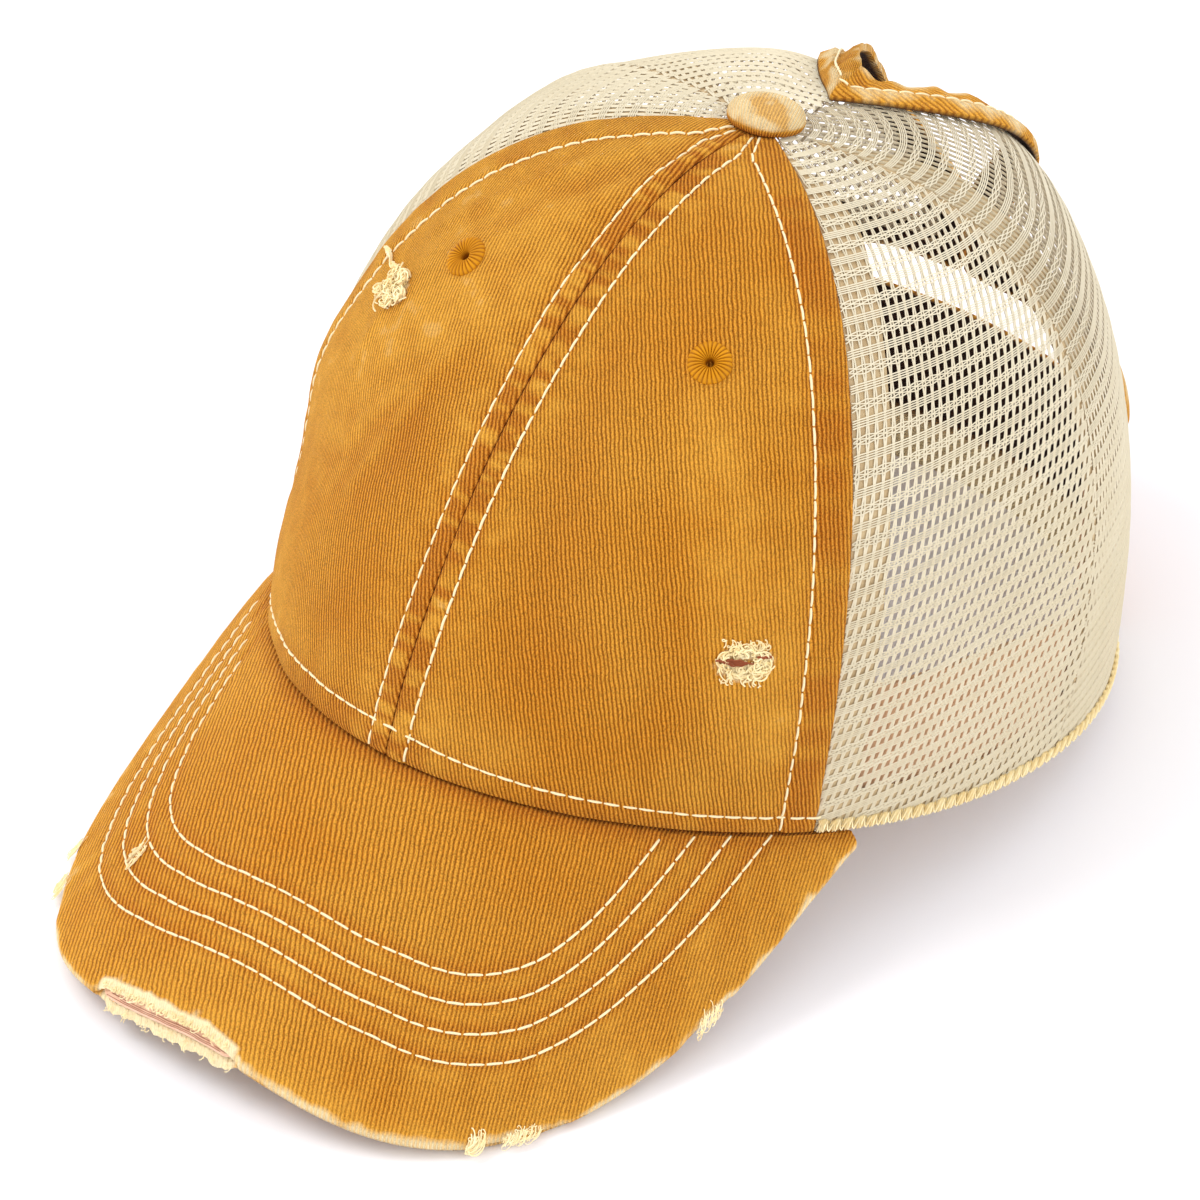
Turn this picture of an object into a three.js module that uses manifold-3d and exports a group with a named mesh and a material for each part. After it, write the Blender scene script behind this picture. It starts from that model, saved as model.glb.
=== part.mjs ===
// Ponytail baseball cap, in millimetres, with +Z up and the peak towards -Y.
// The crown has two twill front panels and four net panels. A cloth-covered peak, a sweatband,
// a bound opening down the back and a closing strap are sewn to it, and a button closes its top.
// Every piece is worked out in the crown's own frame, where the rim lies at z = 0 and +X is the
// wearer's left. The whole cap is then tipped back until it rests on its strap and its peak.

import * as THREE from 'three';
import { mergeVertices } from 'three/addons/utils/BufferGeometryUtils.js';
import Module from 'manifold-3d';

// Crown
const RIM_HALF_WIDTH = 84;
const RIM_FRONT = 101;
const RIM_BACK = 105;
const RIM_FRONT_LIFT = 9;
const CROWN_HEIGHT = 118;
const BUTTON_BACK = 4;
const RIM_EGG = 0.127;

// How the crown curves from rim to button, in front, at the side and behind. A small inward
// power keeps the wall upright for longer, and a small upward power holds the top up for longer.
const PROFILE = {
  front: { inward: 0.88, upward: 1.29, bulge: -0.014 },
  side: { inward: 0.68, upward: 0.775, bulge: 0.042 },
  back: { inward: 0.37, upward: 1.49, bulge: -0.035 },
};

// Seams, in degrees from the middle of the front
const FRONT_SEAM = 62;
const REAR_SEAM = 102;

// Walls and clearances
const TWILL_WALL = 1.5;
const NET_WALL = 1.2;
const GAP = 0.3;

// Soft folds in the crown, raised or sunk by shares of the fold height. Each runs from one place
// to another, given by degrees from the front and by its share of the way from rim to button.
// That whole way counts as FOLD_CLIMB degrees, and the folds die out towards the button.
const FOLD_HEIGHT = 2.4;
const FOLD_CLIMB = 100;
const FOLD_FADE = 8;
const FOLDS = [
  { angle: -6, rise: 0.86, toAngle: -42, toRise: 0.52, width: 5.5, height: 0.5 },
  { angle: -14, rise: 0.6, toAngle: -58, toRise: 0.3, width: 7, height: 0.55 },
  { angle: -24, rise: 0.34, toAngle: -66, toRise: 0.12, width: 8, height: -0.6 },
  { angle: 14, rise: 0.55, toAngle: 22, toRise: 0.2, width: 9, height: -0.4 },
  { angle: 40, rise: 0.5, toAngle: 52, toRise: 0.15, width: 7, height: 0.4 },
  { angle: 80, rise: 0.55, toAngle: 84, toRise: 0.2, width: 10, height: -0.8 },
  { angle: 102, rise: 0.75, toAngle: 102, toRise: 0.1, width: 5, height: 0.35 },
  { angle: 122, rise: 0.5, toAngle: 128, toRise: 0.15, width: 9, height: -0.3 },
  { angle: 148, rise: 0.6, toAngle: 148, toRise: 0.3, width: 9, height: 0.35 },
  { angle: -84, rise: 0.5, toAngle: -80, toRise: 0.15, width: 10, height: -0.8 },
  { angle: -102, rise: 0.75, toAngle: -102, toRise: 0.1, width: 5, height: 0.35 },
  { angle: -166, rise: 0.74, toAngle: -164, toRise: 0.5, width: 13, height: -1.6 },
];

// Sweatband
const BAND_WALL = 1.5;
const BAND_HEIGHT = 33;

// Peak
const PEAK_HALF_WIDTH = 76;
const PEAK_REACH = 51.5;
const PEAK_ROOT = 34;
const PEAK_SQUARENESS = 2.75;
const PEAK_SLOPE = 0.885;
const PEAK_DROOP = 53;
const PEAK_FLATTEN = 0.16;
const PEAK_CLOTH = 1.1;
const PEAK_BOARD = 1.4;
const PEAK_EDGE_ROUND = 2.2;
const PEAK_END = 86;
const PEAK_LEAST_WIDTH = 1.2;
const PEAK_EASE = 8.8;

// Worn places in the peak's edge, by direction in degrees, half their span, and share of depth
const WEAR_DEPTH = 2.4;
const WEAR_ROUNDNESS = 0.45;
const WEAR = [
  { at: -5, half: 10, depth: 1 },
  { at: -34, half: 5, depth: 0.3 },
  { at: 34, half: 5, depth: 0.35 },
  { at: 57, half: 4, depth: 0.3 },
];

// Opening down the back, measured from the button. It widens to a hole for the ponytail, closes to
// a waist where the two sides of its binding meet, and spreads into an arch over the closing strap.
const OPENING_START = 19.5;
const OPENING_HALF_WIDTH = 25;
const OPENING_WIDEN = 52;
const OPENING_POINT = 0.92;
const OPENING_CLOSE = 0.83;
const OPENING_LEAN = 3;
const WAIST_GAP = 0.6;
const ARCH_HEIGHT = 20.8;
const ARCH_HALF_WIDTH = 54.5;
const ARCH_SQUARENESS = 2.4;
const ARCH_BINDING = 0.93;

// Binding round the opening: the part sewn flat to the net, and the gathered part that stands up
const BINDING_FOOT = 5;
const BINDING_FACING = 5.5;
const BINDING_WALL = 1.6;
const BINDING_ROLL = 0.9;
const BINDING_SEAT = 0.6;
const BINDING_CURL_RISE = 5.5;
const BINDING_CURL_PLACE = -0.2;
const BINDING_CURL_RIGHT = 0.15;
const BINDING_CURL_LEFT = 0.2;
const BINDING_SIDE_RISE = -1;
const BINDING_GATHER = 0.45;
const BINDING_GATHERS = 11;

// Closing strap across the foot of the opening
const STRAP_HEIGHT = 45;
const STRAP_WALL = 1.8;
const STRAP_LAP_RIGHT = 5;
const STRAP_LAP_LEFT = 5;
const STRAP_CLEARANCE = 1;

// Button and eyelets
const BUTTON_RADIUS = 8.2;
const BUTTON_EDGE = 3.1;
const BUTTON_HEIGHT = 5.2;
const BUTTON_FOOT = 0.9;
const BUTTON_ROUNDNESS = 0.7;
const SHANK_RADIUS = 2.2;
const SHANK_DEPTH = 3.2;
const TOP_HOLE = 3;
const EYELET_RADIUS = 4.5;
const EYELET_HOLE = 0.8;
const EYELET_BARREL = 2.2;
const EYELET_RAISE = 0.9;
const EYELET_RISE = 0.565;
const EYELET_LEFT = 37.5;
const EYELET_RIGHT = 34.5;

// How far the rear rim is pressed flat where the cap rests
const REST_TRIM = 1;

// Fineness of the meshes
const PANEL_ROWS = 17;
const FRONT_COLUMNS = 11;
const SIDE_COLUMNS = 8;
const REAR_COLUMNS = 11;
const FOOT_ROWS = 4;
const ARCH_ROWS = 6;
const HOLE_ROWS = 9;
const TIP_ROWS = 5;
const BAND_COLUMNS = 34;
const PEAK_COLUMNS = 38;
const BINDING_STATIONS = 56;
const STRAP_COLUMNS = 20;
const ROUND_SIDES = 16;
const HALVINGS = 40;
const STEP = 1e-3;

const HALF_TURN = 180;
const DEGREE = Math.PI / HALF_TURN;
const PAST_MIDDLE = 18 * DEGREE;
const SAME_POINT = 1e-4;
const mix = (a, b, share) => a + (b - a) * share;
const clamp = (value, low, high) => Math.min(high, Math.max(low, value));

// The value where a rising test first turns true, by halving
function halve(low, high, passed) {
  let a = low;
  let b = high;
  for (let i = 0; i < HALVINGS; i += 1) {
    const middle = (a + b) / 2;
    if (passed(middle)) b = middle;
    else a = middle;
  }
  return (a + b) / 2;
}

// Crown surface

function around(theta, key) {
  const c = Math.cos(theta);
  const end = c >= 0 ? PROFILE.front[key] : PROFILE.back[key];
  return mix(PROFILE.side[key], end, c * c);
}

function rimPoint(theta) {
  const c = Math.cos(theta);
  const x = RIM_HALF_WIDTH * Math.sin(theta) * (1 - RIM_EGG * c);
  const y = -(c >= 0 ? RIM_FRONT : RIM_BACK) * c;
  const z = c > 0 ? RIM_FRONT_LIFT * c * c : 0;
  return new THREE.Vector3(x, y, z);
}

function topAngle(theta) {
  const rim = rimPoint(theta);
  const inward = TOP_HOLE / Math.hypot(rim.x, rim.y - BUTTON_BACK);
  const upward = (1 - inward ** (2 / around(theta, 'inward'))) ** (around(theta, 'upward') / 2);
  return Math.atan2(upward, inward);
}

// Degrees from one direction to another, by the shorter way round
function degreesBetween(from, to) {
  return THREE.MathUtils.euclideanModulo(to - from + HALF_TURN, 2 * HALF_TURN) - HALF_TURN;
}

function foldRelief(theta, rise) {
  let relief = 0;
  for (const fold of FOLDS) {
    const span = fold.toAngle - fold.angle;
    const climb = (fold.toRise - fold.rise) * FOLD_CLIMB;
    const across = degreesBetween(fold.angle, theta / DEGREE);
    const up = (rise - fold.rise) * FOLD_CLIMB;
    const along = clamp((across * span + up * climb) / (span * span + climb * climb), 0, 1);
    const distance = Math.hypot(across - span * along, up - climb * along) / fold.width;
    relief += fold.height * FOLD_HEIGHT * Math.exp(-distance * distance);
  }
  return relief;
}

// A point of the smooth crown. Rise runs from 0 at the rim to 1 at the hole under the button.
function smoothCrown(theta, rise) {
  const angle = rise * topAngle(theta);
  const inwardPower = around(theta, 'inward');
  const upwardPower = around(theta, 'upward');
  const c = Math.cos(angle);
  const s = Math.sin(angle);
  const radius = halve(0, 2, (r) => (r * c) ** (2 / inwardPower) + (r * s) ** (2 / upwardPower) > 1);
  const slope = (radius * c) ** (1 / inwardPower) * (radius * s) ** (1 / upwardPower);
  const bulge = 2 * around(theta, 'bulge') * slope;
  const inward = radius * c * (1 + bulge);
  const upward = radius * s;
  const rim = rimPoint(theta);
  return new THREE.Vector3(
    rim.x * inward,
    mix(BUTTON_BACK, rim.y, inward),
    mix(rim.z, CROWN_HEIGHT, upward),
  );
}

function normalOf(surface, u, v, lowV, highV) {
  const alongU = surface(u + STEP, v).sub(surface(u - STEP, v));
  const alongV = surface(u, Math.min(v + STEP, highV)).sub(surface(u, Math.max(v - STEP, lowV)));
  return alongU.cross(alongV).normalize();
}

function crownPoint(theta, rise) {
  const lift = foldRelief(theta, rise) * (1 - rise ** FOLD_FADE);
  return smoothCrown(theta, rise).addScaledVector(normalOf(smoothCrown, theta, rise, 0, 1), lift);
}

// A point at a distance out from the crown. At the rim it moves level, so that feet stay flat.
function crownOut(theta, rise, out) {
  const normal = normalOf(crownPoint, theta, rise, 0, 1);
  if (rise === 0) normal.setZ(0).normalize();
  return crownPoint(theta, rise).addScaledVector(normal, out);
}

function riseAtHeight(theta, height) {
  return halve(0, 1, (rise) => crownPoint(theta, rise).z > height);
}

// The angle of a seam, moved sideways along the cloth
function besideSeam(theta, rise, distance) {
  const width = crownPoint(theta + STEP, rise).distanceTo(crownPoint(theta - STEP, rise)) / (2 * STEP);
  return theta + distance / width;
}

// The middle of the back, as lengths from the button down to the rim

const BACK_STEPS = 90;
const backLengths = [0];
for (let i = 1; i <= BACK_STEPS; i += 1) {
  const above = smoothCrown(Math.PI, 1 - (i - 1) / BACK_STEPS);
  const here = smoothCrown(Math.PI, 1 - i / BACK_STEPS);
  backLengths.push(backLengths[i - 1] + above.distanceTo(here));
}
const backTotal = TOP_HOLE + backLengths[BACK_STEPS];

function backLengthAt(rise) {
  const place = (1 - rise) * BACK_STEPS;
  const i = Math.min(BACK_STEPS - 1, Math.floor(place));
  return TOP_HOLE + mix(backLengths[i], backLengths[i + 1], place - i);
}

function riseAtBackLength(length) {
  return 1 - halve(0, 1, (fall) => backLengthAt(1 - fall) > length);
}

function openingMiddle(length) {
  return OPENING_LEAN * Math.sin(Math.PI * Math.sqrt(clamp(length / backTotal, 0, 1)));
}

// The arch ends at the strap's top, and the waist closes part of the way from the hole to the arch
const strapTopRise = riseAtHeight(Math.PI, STRAP_HEIGHT + STRAP_CLEARANCE);
const bindingEnd = backLengthAt(strapTopRise);
const archTop = (inset) => bindingEnd - ARCH_HEIGHT + inset * ARCH_BINDING;
const widestLength = OPENING_START + OPENING_WIDEN;
const waistLength = mix(widestLength, archTop(0), OPENING_CLOSE);
const waistHalf = BINDING_FOOT + BINDING_FACING + WAIST_GAP / 2;

function openingHalf(length, inset) {
  const share = clamp((length - OPENING_START - inset) / (OPENING_WIDEN - inset), 0, 1);
  const closed = THREE.MathUtils.smoothstep(length, widestLength, waistLength);
  const hole = mix(OPENING_HALF_WIDTH, waistHalf, closed) - inset;
  const drop = clamp((length - archTop(inset)) / (bindingEnd - archTop(inset)), 0, 1);
  const spread = (1 - (1 - drop) ** ARCH_SQUARENESS) ** (1 / ARCH_SQUARENESS);
  const arch = (ARCH_HALF_WIDTH - waistHalf) * spread;
  return hole * Math.sin((Math.PI / 2) * share ** OPENING_POINT) + arch;
}

// The angle at which the crown has a given x, on the wearer's left (side 1) or right (side -1)
function angleAtX(side, x, rise) {
  const passed = (angle) => side * crownPoint(side * angle, rise).x < side * x;
  return side * halve(Math.PI / 2, Math.PI + PAST_MIDDLE, passed);
}

function openingAngle(side, length, inset, least, rise) {
  const half = Math.max(least, openingHalf(length, inset));
  return angleAtX(side, openingMiddle(length) + side * half, rise);
}

// Closed walls

function solidGeometry(points, faces) {
  let volume = 0;
  for (let i = 0; i < faces.length; i += 3) {
    const [a, b, c] = [points[faces[i]], points[faces[i + 1]], points[faces[i + 2]]];
    volume += a.dot(b.clone().cross(c));
  }
  const order = volume < 0 ? faces.slice().reverse() : faces;
  const geometry = new THREE.BufferGeometry();
  const numbers = points.flatMap((point) => point.toArray());
  geometry.setAttribute('position', new THREE.Float32BufferAttribute(numbers, 3));
  geometry.setIndex(order);
  return geometry;
}

// Two grids of points, joined at their edges into one closed wall
function wall(rows, columns, outer, inner) {
  const points = [];
  for (const face of [outer, inner]) {
    for (let r = 0; r <= rows; r += 1) {
      for (let c = 0; c <= columns; c += 1) points.push(face(r, c));
    }
  }
  const at = (layer, r, c) => (layer * (rows + 1) + r) * (columns + 1) + c;
  const faces = [];
  const quad = (a, b, c, d) => faces.push(a, b, c, a, c, d);
  for (let r = 0; r < rows; r += 1) {
    for (let c = 0; c < columns; c += 1) {
      quad(at(0, r, c), at(0, r, c + 1), at(0, r + 1, c + 1), at(0, r + 1, c));
      quad(at(1, r, c), at(1, r + 1, c), at(1, r + 1, c + 1), at(1, r, c + 1));
    }
  }
  for (let c = 0; c < columns; c += 1) {
    quad(at(0, 0, c), at(1, 0, c), at(1, 0, c + 1), at(0, 0, c + 1));
    quad(at(0, rows, c), at(0, rows, c + 1), at(1, rows, c + 1), at(1, rows, c));
  }
  for (let r = 0; r < rows; r += 1) {
    quad(at(0, r, 0), at(0, r + 1, 0), at(1, r + 1, 0), at(1, r, 0));
    quad(at(0, r, columns), at(1, r, columns), at(1, r + 1, columns), at(0, r + 1, columns));
  }
  return solidGeometry(points, faces);
}

// Peak

const peakDepth = 2 * PEAK_CLOTH + 2 * GAP + PEAK_BOARD;
const peakTuck = TWILL_WALL + GAP + BAND_WALL + GAP;

function peakHeight(x, y) {
  const ahead = -y - RIM_FRONT;
  const droop = PEAK_DROOP * (x / PEAK_HALF_WIDTH) ** 2 * (1 - (PEAK_FLATTEN * ahead) / PEAK_REACH);
  return RIM_FRONT_LIFT - PEAK_SLOPE * ahead - droop;
}

// A ray over the peak from the middle between its two ends, with where it crosses rim and edge.
// Behind that middle the peak's sides run straight back.
function peakRay(phi) {
  const size = Math.abs(phi);
  const heading = (theta) => {
    const rim = rimPoint(theta);
    return Math.atan2(rim.x, -rim.y - PEAK_ROOT);
  };
  const rim = rimPoint(halve(0, Math.PI / 2, (theta) => heading(theta) > size));
  const rimRadius = Math.hypot(rim.x, rim.y + PEAK_ROOT);
  const across = Math.sin(size) / PEAK_HALF_WIDTH;
  const along = Math.max(0, Math.cos(size)) / (RIM_FRONT + PEAK_REACH - PEAK_ROOT);
  const edgeRadius = (across ** PEAK_SQUARENESS + along ** PEAK_SQUARENESS) ** (-1 / PEAK_SQUARENESS);
  return { rimRadius, edgeRadius, rimZ: rim.z - GAP, correction: rim.z - GAP - peakHeight(rim.x, rim.y) };
}

// The peak is sewn on as far as PEAK_END, or to where its outline comes in to the rim
const peakEnd = halve(Math.PI / 4, PEAK_END * DEGREE, (phi) => {
  const ray = peakRay(phi);
  return ray.edgeRadius - ray.rimRadius < PEAK_LEAST_WIDTH;
});

function peakPoint(phi, radius) {
  const ray = peakRay(phi);
  const x = radius * Math.sin(phi);
  const y = -PEAK_ROOT - radius * Math.cos(phi);
  if (radius <= ray.rimRadius) return new THREE.Vector3(x, y, ray.rimZ);
  const width = Math.max(ray.edgeRadius - ray.rimRadius, PEAK_EASE);
  const share = clamp((radius - ray.rimRadius) / width, 0, 1);
  return new THREE.Vector3(x, y, peakHeight(x, y) + ray.correction * (1 - share));
}

// A point below the peak's upper face. Inside the rim the face is level.
function peakBelow(phi, radius, depth) {
  const ray = peakRay(phi);
  const up = new THREE.Vector3(0, 0, 1);
  const beyond = Math.max(radius, ray.rimRadius + 2 * STEP);
  const sloped = normalOf(peakPoint, phi, beyond, ray.rimRadius, Infinity);
  if (sloped.z < 0) sloped.negate();
  const share = clamp((radius - ray.rimRadius + peakTuck) / (2 * peakTuck), 0, 1);
  const normal = up.lerp(sloped, share).normalize();
  return peakPoint(phi, radius).addScaledVector(normal, -depth);
}

function wearAt(phi) {
  let depth = 0;
  for (const worn of WEAR) {
    const away = (phi / DEGREE - worn.at) / worn.half;
    const bite = Math.max(0, 1 - away * away) ** WEAR_ROUNDNESS;
    depth = Math.max(depth, worn.depth * WEAR_DEPTH * bite);
  }
  return depth;
}

// Rows across one layer of the peak: how far each lies in from the edge, and how deep. Where the
// peak is narrow, its rounded edge and its inner part keep at least these shares of the width.
const PEAK_INNER_ROWS = 3;
const EDGE_SHARE = 1 / 3;
const INNER_SHARE = 1 / 5;
function peakRadius(phi, row, edgeRows, worn) {
  const ray = peakRay(phi);
  const inner = ray.rimRadius - peakTuck;
  const outer = ray.edgeRadius - worn;
  const round = Math.min(PEAK_EDGE_ROUND, (outer - inner) * EDGE_SHARE);
  const atRim = Math.min(ray.rimRadius, outer - round - (outer - inner) * INNER_SHARE);
  if (row === 0) return inner;
  if (row <= PEAK_INNER_ROWS) return mix(atRim, outer - round, (row - 1) / PEAK_INNER_ROWS);
  return outer - round * edgeRows[row - PEAK_INNER_ROWS - 1];
}

function peakLayer(edge, depths, worn) {
  const rows = PEAK_INNER_ROWS + edge.outer.length;
  const direction = (c) => mix(-peakEnd, peakEnd, c / PEAK_COLUMNS);
  const face = (side) => (r, c) => {
    const phi = direction(c);
    const step = Math.max(0, r - PEAK_INNER_ROWS);
    const depth = step === 0 ? depths[side] : edge[`${side}Depth`][step - 1];
    return peakBelow(phi, peakRadius(phi, r, edge[side], worn(phi)), depth);
  };
  return wall(rows, PEAK_COLUMNS, face('outer'), face('inner'));
}

// The two cloths turn towards each other at the edge and meet at the seam, half way down
const seamDepth = peakDepth / 2 - GAP / 2;
const lip = PEAK_CLOTH / PEAK_EDGE_ROUND;
const clothEdge = {
  outer: [1, 0.36, 0.07, 0],
  outerDepth: [0, 0.25 * PEAK_CLOTH, 0.8 * PEAK_CLOTH, seamDepth],
  inner: [1, (1 + lip) / 2, lip, lip],
  innerDepth: [PEAK_CLOTH, PEAK_CLOTH, PEAK_CLOTH, seamDepth],
};
const boardEdge = (PEAK_CLOTH + GAP) / PEAK_EDGE_ROUND;
const boardTop = PEAK_CLOTH + GAP;
const flip = (depths) => depths.map((depth) => peakDepth - depth);

function peakPieces() {
  const unworn = () => 0;
  const upper = peakLayer(clothEdge, { outer: 0, inner: PEAK_CLOTH }, wearAt);
  const under = peakLayer(
    { ...clothEdge, outerDepth: flip(clothEdge.outerDepth), innerDepth: flip(clothEdge.innerDepth) },
    { outer: peakDepth, inner: peakDepth - PEAK_CLOTH },
    unworn,
  );
  const board = peakLayer(
    {
      outer: [1, boardEdge],
      outerDepth: [boardTop, boardTop],
      inner: [1, boardEdge],
      innerDepth: [boardTop + PEAK_BOARD, boardTop + PEAK_BOARD],
    },
    { outer: boardTop, inner: boardTop + PEAK_BOARD },
    wearAt,
  );
  return { upper, under, board };
}

const peak = peakPieces();

// Rest: the tilt at which the peak's lowest corners are level with the foot of the rear rim

function lowestPeak(tilt) {
  const place = peak.under.getAttribute('position');
  let low = Infinity;
  for (let i = 0; i < place.count; i += 1) {
    low = Math.min(low, place.getZ(i) * Math.cos(tilt) - place.getY(i) * Math.sin(tilt));
  }
  return low;
}

const rearFoot = (tilt) => REST_TRIM * Math.cos(tilt) - RIM_BACK * Math.sin(tilt);
const restTilt = halve(0, Math.PI / 4, (tilt) => lowestPeak(tilt) > rearFoot(tilt));
const restLevel = rearFoot(restTilt);

function onFloor(point) {
  const floor = (point.y * Math.sin(restTilt) + restLevel) / Math.cos(restTilt);
  return point.z < floor ? point.setZ(floor) : point;
}

const crownFoot = (theta, rise, out) => onFloor(crownOut(theta, rise, out));

// Crown panels

function panel(thickness, columns, rises, startEdge, endEdge) {
  const face = (out) => (r, c) => {
    const rise = rises[r];
    const theta = mix(startEdge(rise), endEdge(rise), c / columns);
    return crownFoot(theta, rise, out);
  };
  return wall(rises.length - 1, columns, face(0), face(-thickness));
}

function seamEdge(side, degrees, way) {
  return (rise) => besideSeam(side * degrees * DEGREE, rise, (side * way * GAP) / 2);
}

const evenRises = Array.from({ length: PANEL_ROWS + 1 }, (_, i) => i / PANEL_ROWS);

function frontPanel(side) {
  const middle = seamEdge(side, 0, 1);
  return panel(TWILL_WALL, FRONT_COLUMNS, evenRises, middle, seamEdge(side, FRONT_SEAM, -1));
}

function sidePanel(side) {
  const front = seamEdge(side, FRONT_SEAM, 1);
  return panel(NET_WALL, SIDE_COLUMNS, evenRises, front, seamEdge(side, REAR_SEAM, -1));
}

// Rows of the rear panels, from the rim over the arch, the waist and the hole to the button
const rearRises = [];
function addRows(from, to, count, ease) {
  for (let i = 0; i < count; i += 1) rearRises.push(riseAtBackLength(mix(from, to, ease(i / count))));
}
const even = (share) => share;
const rounded = (share) => Math.sin((share * Math.PI) / 2);
const tipLength = OPENING_START + BINDING_FOOT;
addRows(backTotal, bindingEnd, FOOT_ROWS, even);
addRows(bindingEnd, archTop(BINDING_FOOT), ARCH_ROWS, rounded);
addRows(archTop(BINDING_FOOT), tipLength, HOLE_ROWS, even);
addRows(tipLength, TOP_HOLE, TIP_ROWS, even);
rearRises[0] = 0;
rearRises.push(1);

function rearPanel(side) {
  const openingEdge = (rise) => openingAngle(side, backLengthAt(rise), BINDING_FOOT, GAP / 2, rise);
  return panel(NET_WALL, REAR_COLUMNS, rearRises, seamEdge(side, REAR_SEAM, 1), openingEdge);
}

// Sweatband, inside the crown and open at the back

function sweatband() {
  const out = -(Math.max(TWILL_WALL, NET_WALL) + GAP);
  const left = openingAngle(1, backTotal, BINDING_FOOT, 0, 0);
  const right = openingAngle(-1, backTotal, BINDING_FOOT, 0, 0);
  const rows = 3;
  const face = (distance) => (r, c) => {
    const theta = mix(right, left, c / BAND_COLUMNS);
    return crownFoot(theta, (riseAtHeight(theta, BAND_HEIGHT) * r) / rows, distance);
  };
  return wall(rows, BAND_COLUMNS, face(out), face(out - BAND_WALL));
}

// Binding round the opening, as rows from its outer edge on the net to its free inner edge. Over
// is a row's share of the wall, and its stations crowd towards the opening's point.

const STATION_CROWDING = 1.5;
const HOLE_SHARE = 0.6;
const WAIST_SHARE = 0.69;
const BINDING_ROWS = [
  { inset: 0, over: 0.7, rise: 0, gather: 0 },
  { inset: 0.45 * BINDING_FOOT, over: 1, rise: 0, gather: 0 },
  { inset: BINDING_FOOT, over: 1, rise: 0, gather: 0 },
  { inset: BINDING_FOOT + 0.5 * BINDING_FACING, over: 1, rise: 0.4, gather: 0.7 },
  { inset: BINDING_FOOT + BINDING_FACING, over: 0.9, rise: 1, gather: 1 },
];

function bindingLength(share, inset) {
  const crowded = Math.min(1, share / HOLE_SHARE) ** STATION_CROWDING;
  const overHole = mix(OPENING_START + inset, waistLength, crowded);
  if (share <= HOLE_SHARE) return overHole;
  const overWaist = Math.min(1, (share - HOLE_SHARE) / (WAIST_SHARE - HOLE_SHARE));
  if (share <= WAIST_SHARE) return mix(waistLength, archTop(inset), overWaist);
  const turn = ((share - WAIST_SHARE) / (1 - WAIST_SHARE)) * (Math.PI / 2);
  return mix(archTop(inset), bindingEnd, 1 - Math.cos(turn));
}

function openingBinding() {
  const rows = BINDING_ROWS.length - 1;
  const face = (isTop) => (r, c) => {
    const row = BINDING_ROWS[r];
    const station = mix(-1, 1, c / BINDING_STATIONS);
    const side = station < 0 ? -1 : 1;
    const share = Math.abs(station);
    const length = bindingLength(share, row.inset);
    const rise = riseAtBackLength(length);
    const theta = angleAtX(side, openingMiddle(length) + side * openingHalf(length, row.inset), rise);
    const fromCurl = station - BINDING_CURL_PLACE;
    const curlSpan = fromCurl < 0 ? BINDING_CURL_RIGHT : BINDING_CURL_LEFT;
    const stand = mix(BINDING_SIDE_RISE, BINDING_CURL_RISE, Math.exp(-((fromCurl / curlSpan) ** 2)));
    const wave = BINDING_GATHER * Math.sin(share * BINDING_GATHERS * 2 * Math.PI) * row.gather;
    const base = BINDING_SEAT + stand * row.rise + wave + BINDING_GATHER * row.gather;
    const roll = r === 1 ? BINDING_ROLL : 0;
    return crownOut(theta, rise, isTop ? base + BINDING_WALL * row.over + roll : base);
  };
  return wall(rows, BINDING_STATIONS, face(true), face(false));
}

// Closing strap, which lies over the rear panels and crosses the opening

function closingStrap() {
  const half = openingHalf(backTotal, 0);
  const right = angleAtX(-1, -half - STRAP_LAP_RIGHT, 0);
  const left = angleAtX(1, half + STRAP_LAP_LEFT, 0) - 2 * Math.PI;
  const rows = 3;
  const face = (out) => (r, c) => {
    const theta = mix(right, left, c / STRAP_COLUMNS);
    return crownFoot(theta, (riseAtHeight(theta, STRAP_HEIGHT) * r) / rows, out);
  };
  return wall(rows, STRAP_COLUMNS, face(GAP + STRAP_WALL), face(GAP));
}

// Button and eyelets are turned shapes

function turned(profile) {
  const points = profile.map(([radius, height]) => new THREE.Vector2(radius, height));
  const geometry = new THREE.LatheGeometry(points, ROUND_SIDES);
  geometry.rotateX(Math.PI / 2);
  geometry.deleteAttribute('normal');
  geometry.deleteAttribute('uv');
  const merged = mergeVertices(geometry, SAME_POINT);
  const place = merged.getAttribute('position');
  const vertices = [];
  for (let i = 0; i < place.count; i += 1) {
    vertices.push(new THREE.Vector3().fromBufferAttribute(place, i));
  }
  const index = Array.from(merged.getIndex().array);
  const faces = [];
  for (let i = 0; i < index.length; i += 3) {
    const [a, b, c] = index.slice(i, i + 3);
    if (a !== b && b !== c && a !== c) faces.push(a, b, c);
  }
  return solidGeometry(vertices, faces);
}

function button() {
  const dome = [];
  const steps = 6;
  for (let i = 0; i <= steps; i += 1) {
    const angle = (i / steps) * (Math.PI / 2);
    const height = BUTTON_EDGE / 2 + (BUTTON_HEIGHT - BUTTON_EDGE / 2) * Math.sin(angle);
    dome.push([BUTTON_RADIUS * Math.cos(angle) ** BUTTON_ROUNDNESS, height]);
  }
  dome[steps] = [0, BUTTON_HEIGHT];
  return turned([
    [0, -SHANK_DEPTH],
    [SHANK_RADIUS, -SHANK_DEPTH],
    [SHANK_RADIUS, GAP],
    [BUTTON_FOOT * BUTTON_RADIUS, GAP],
    ...dome,
  ]);
}

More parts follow.
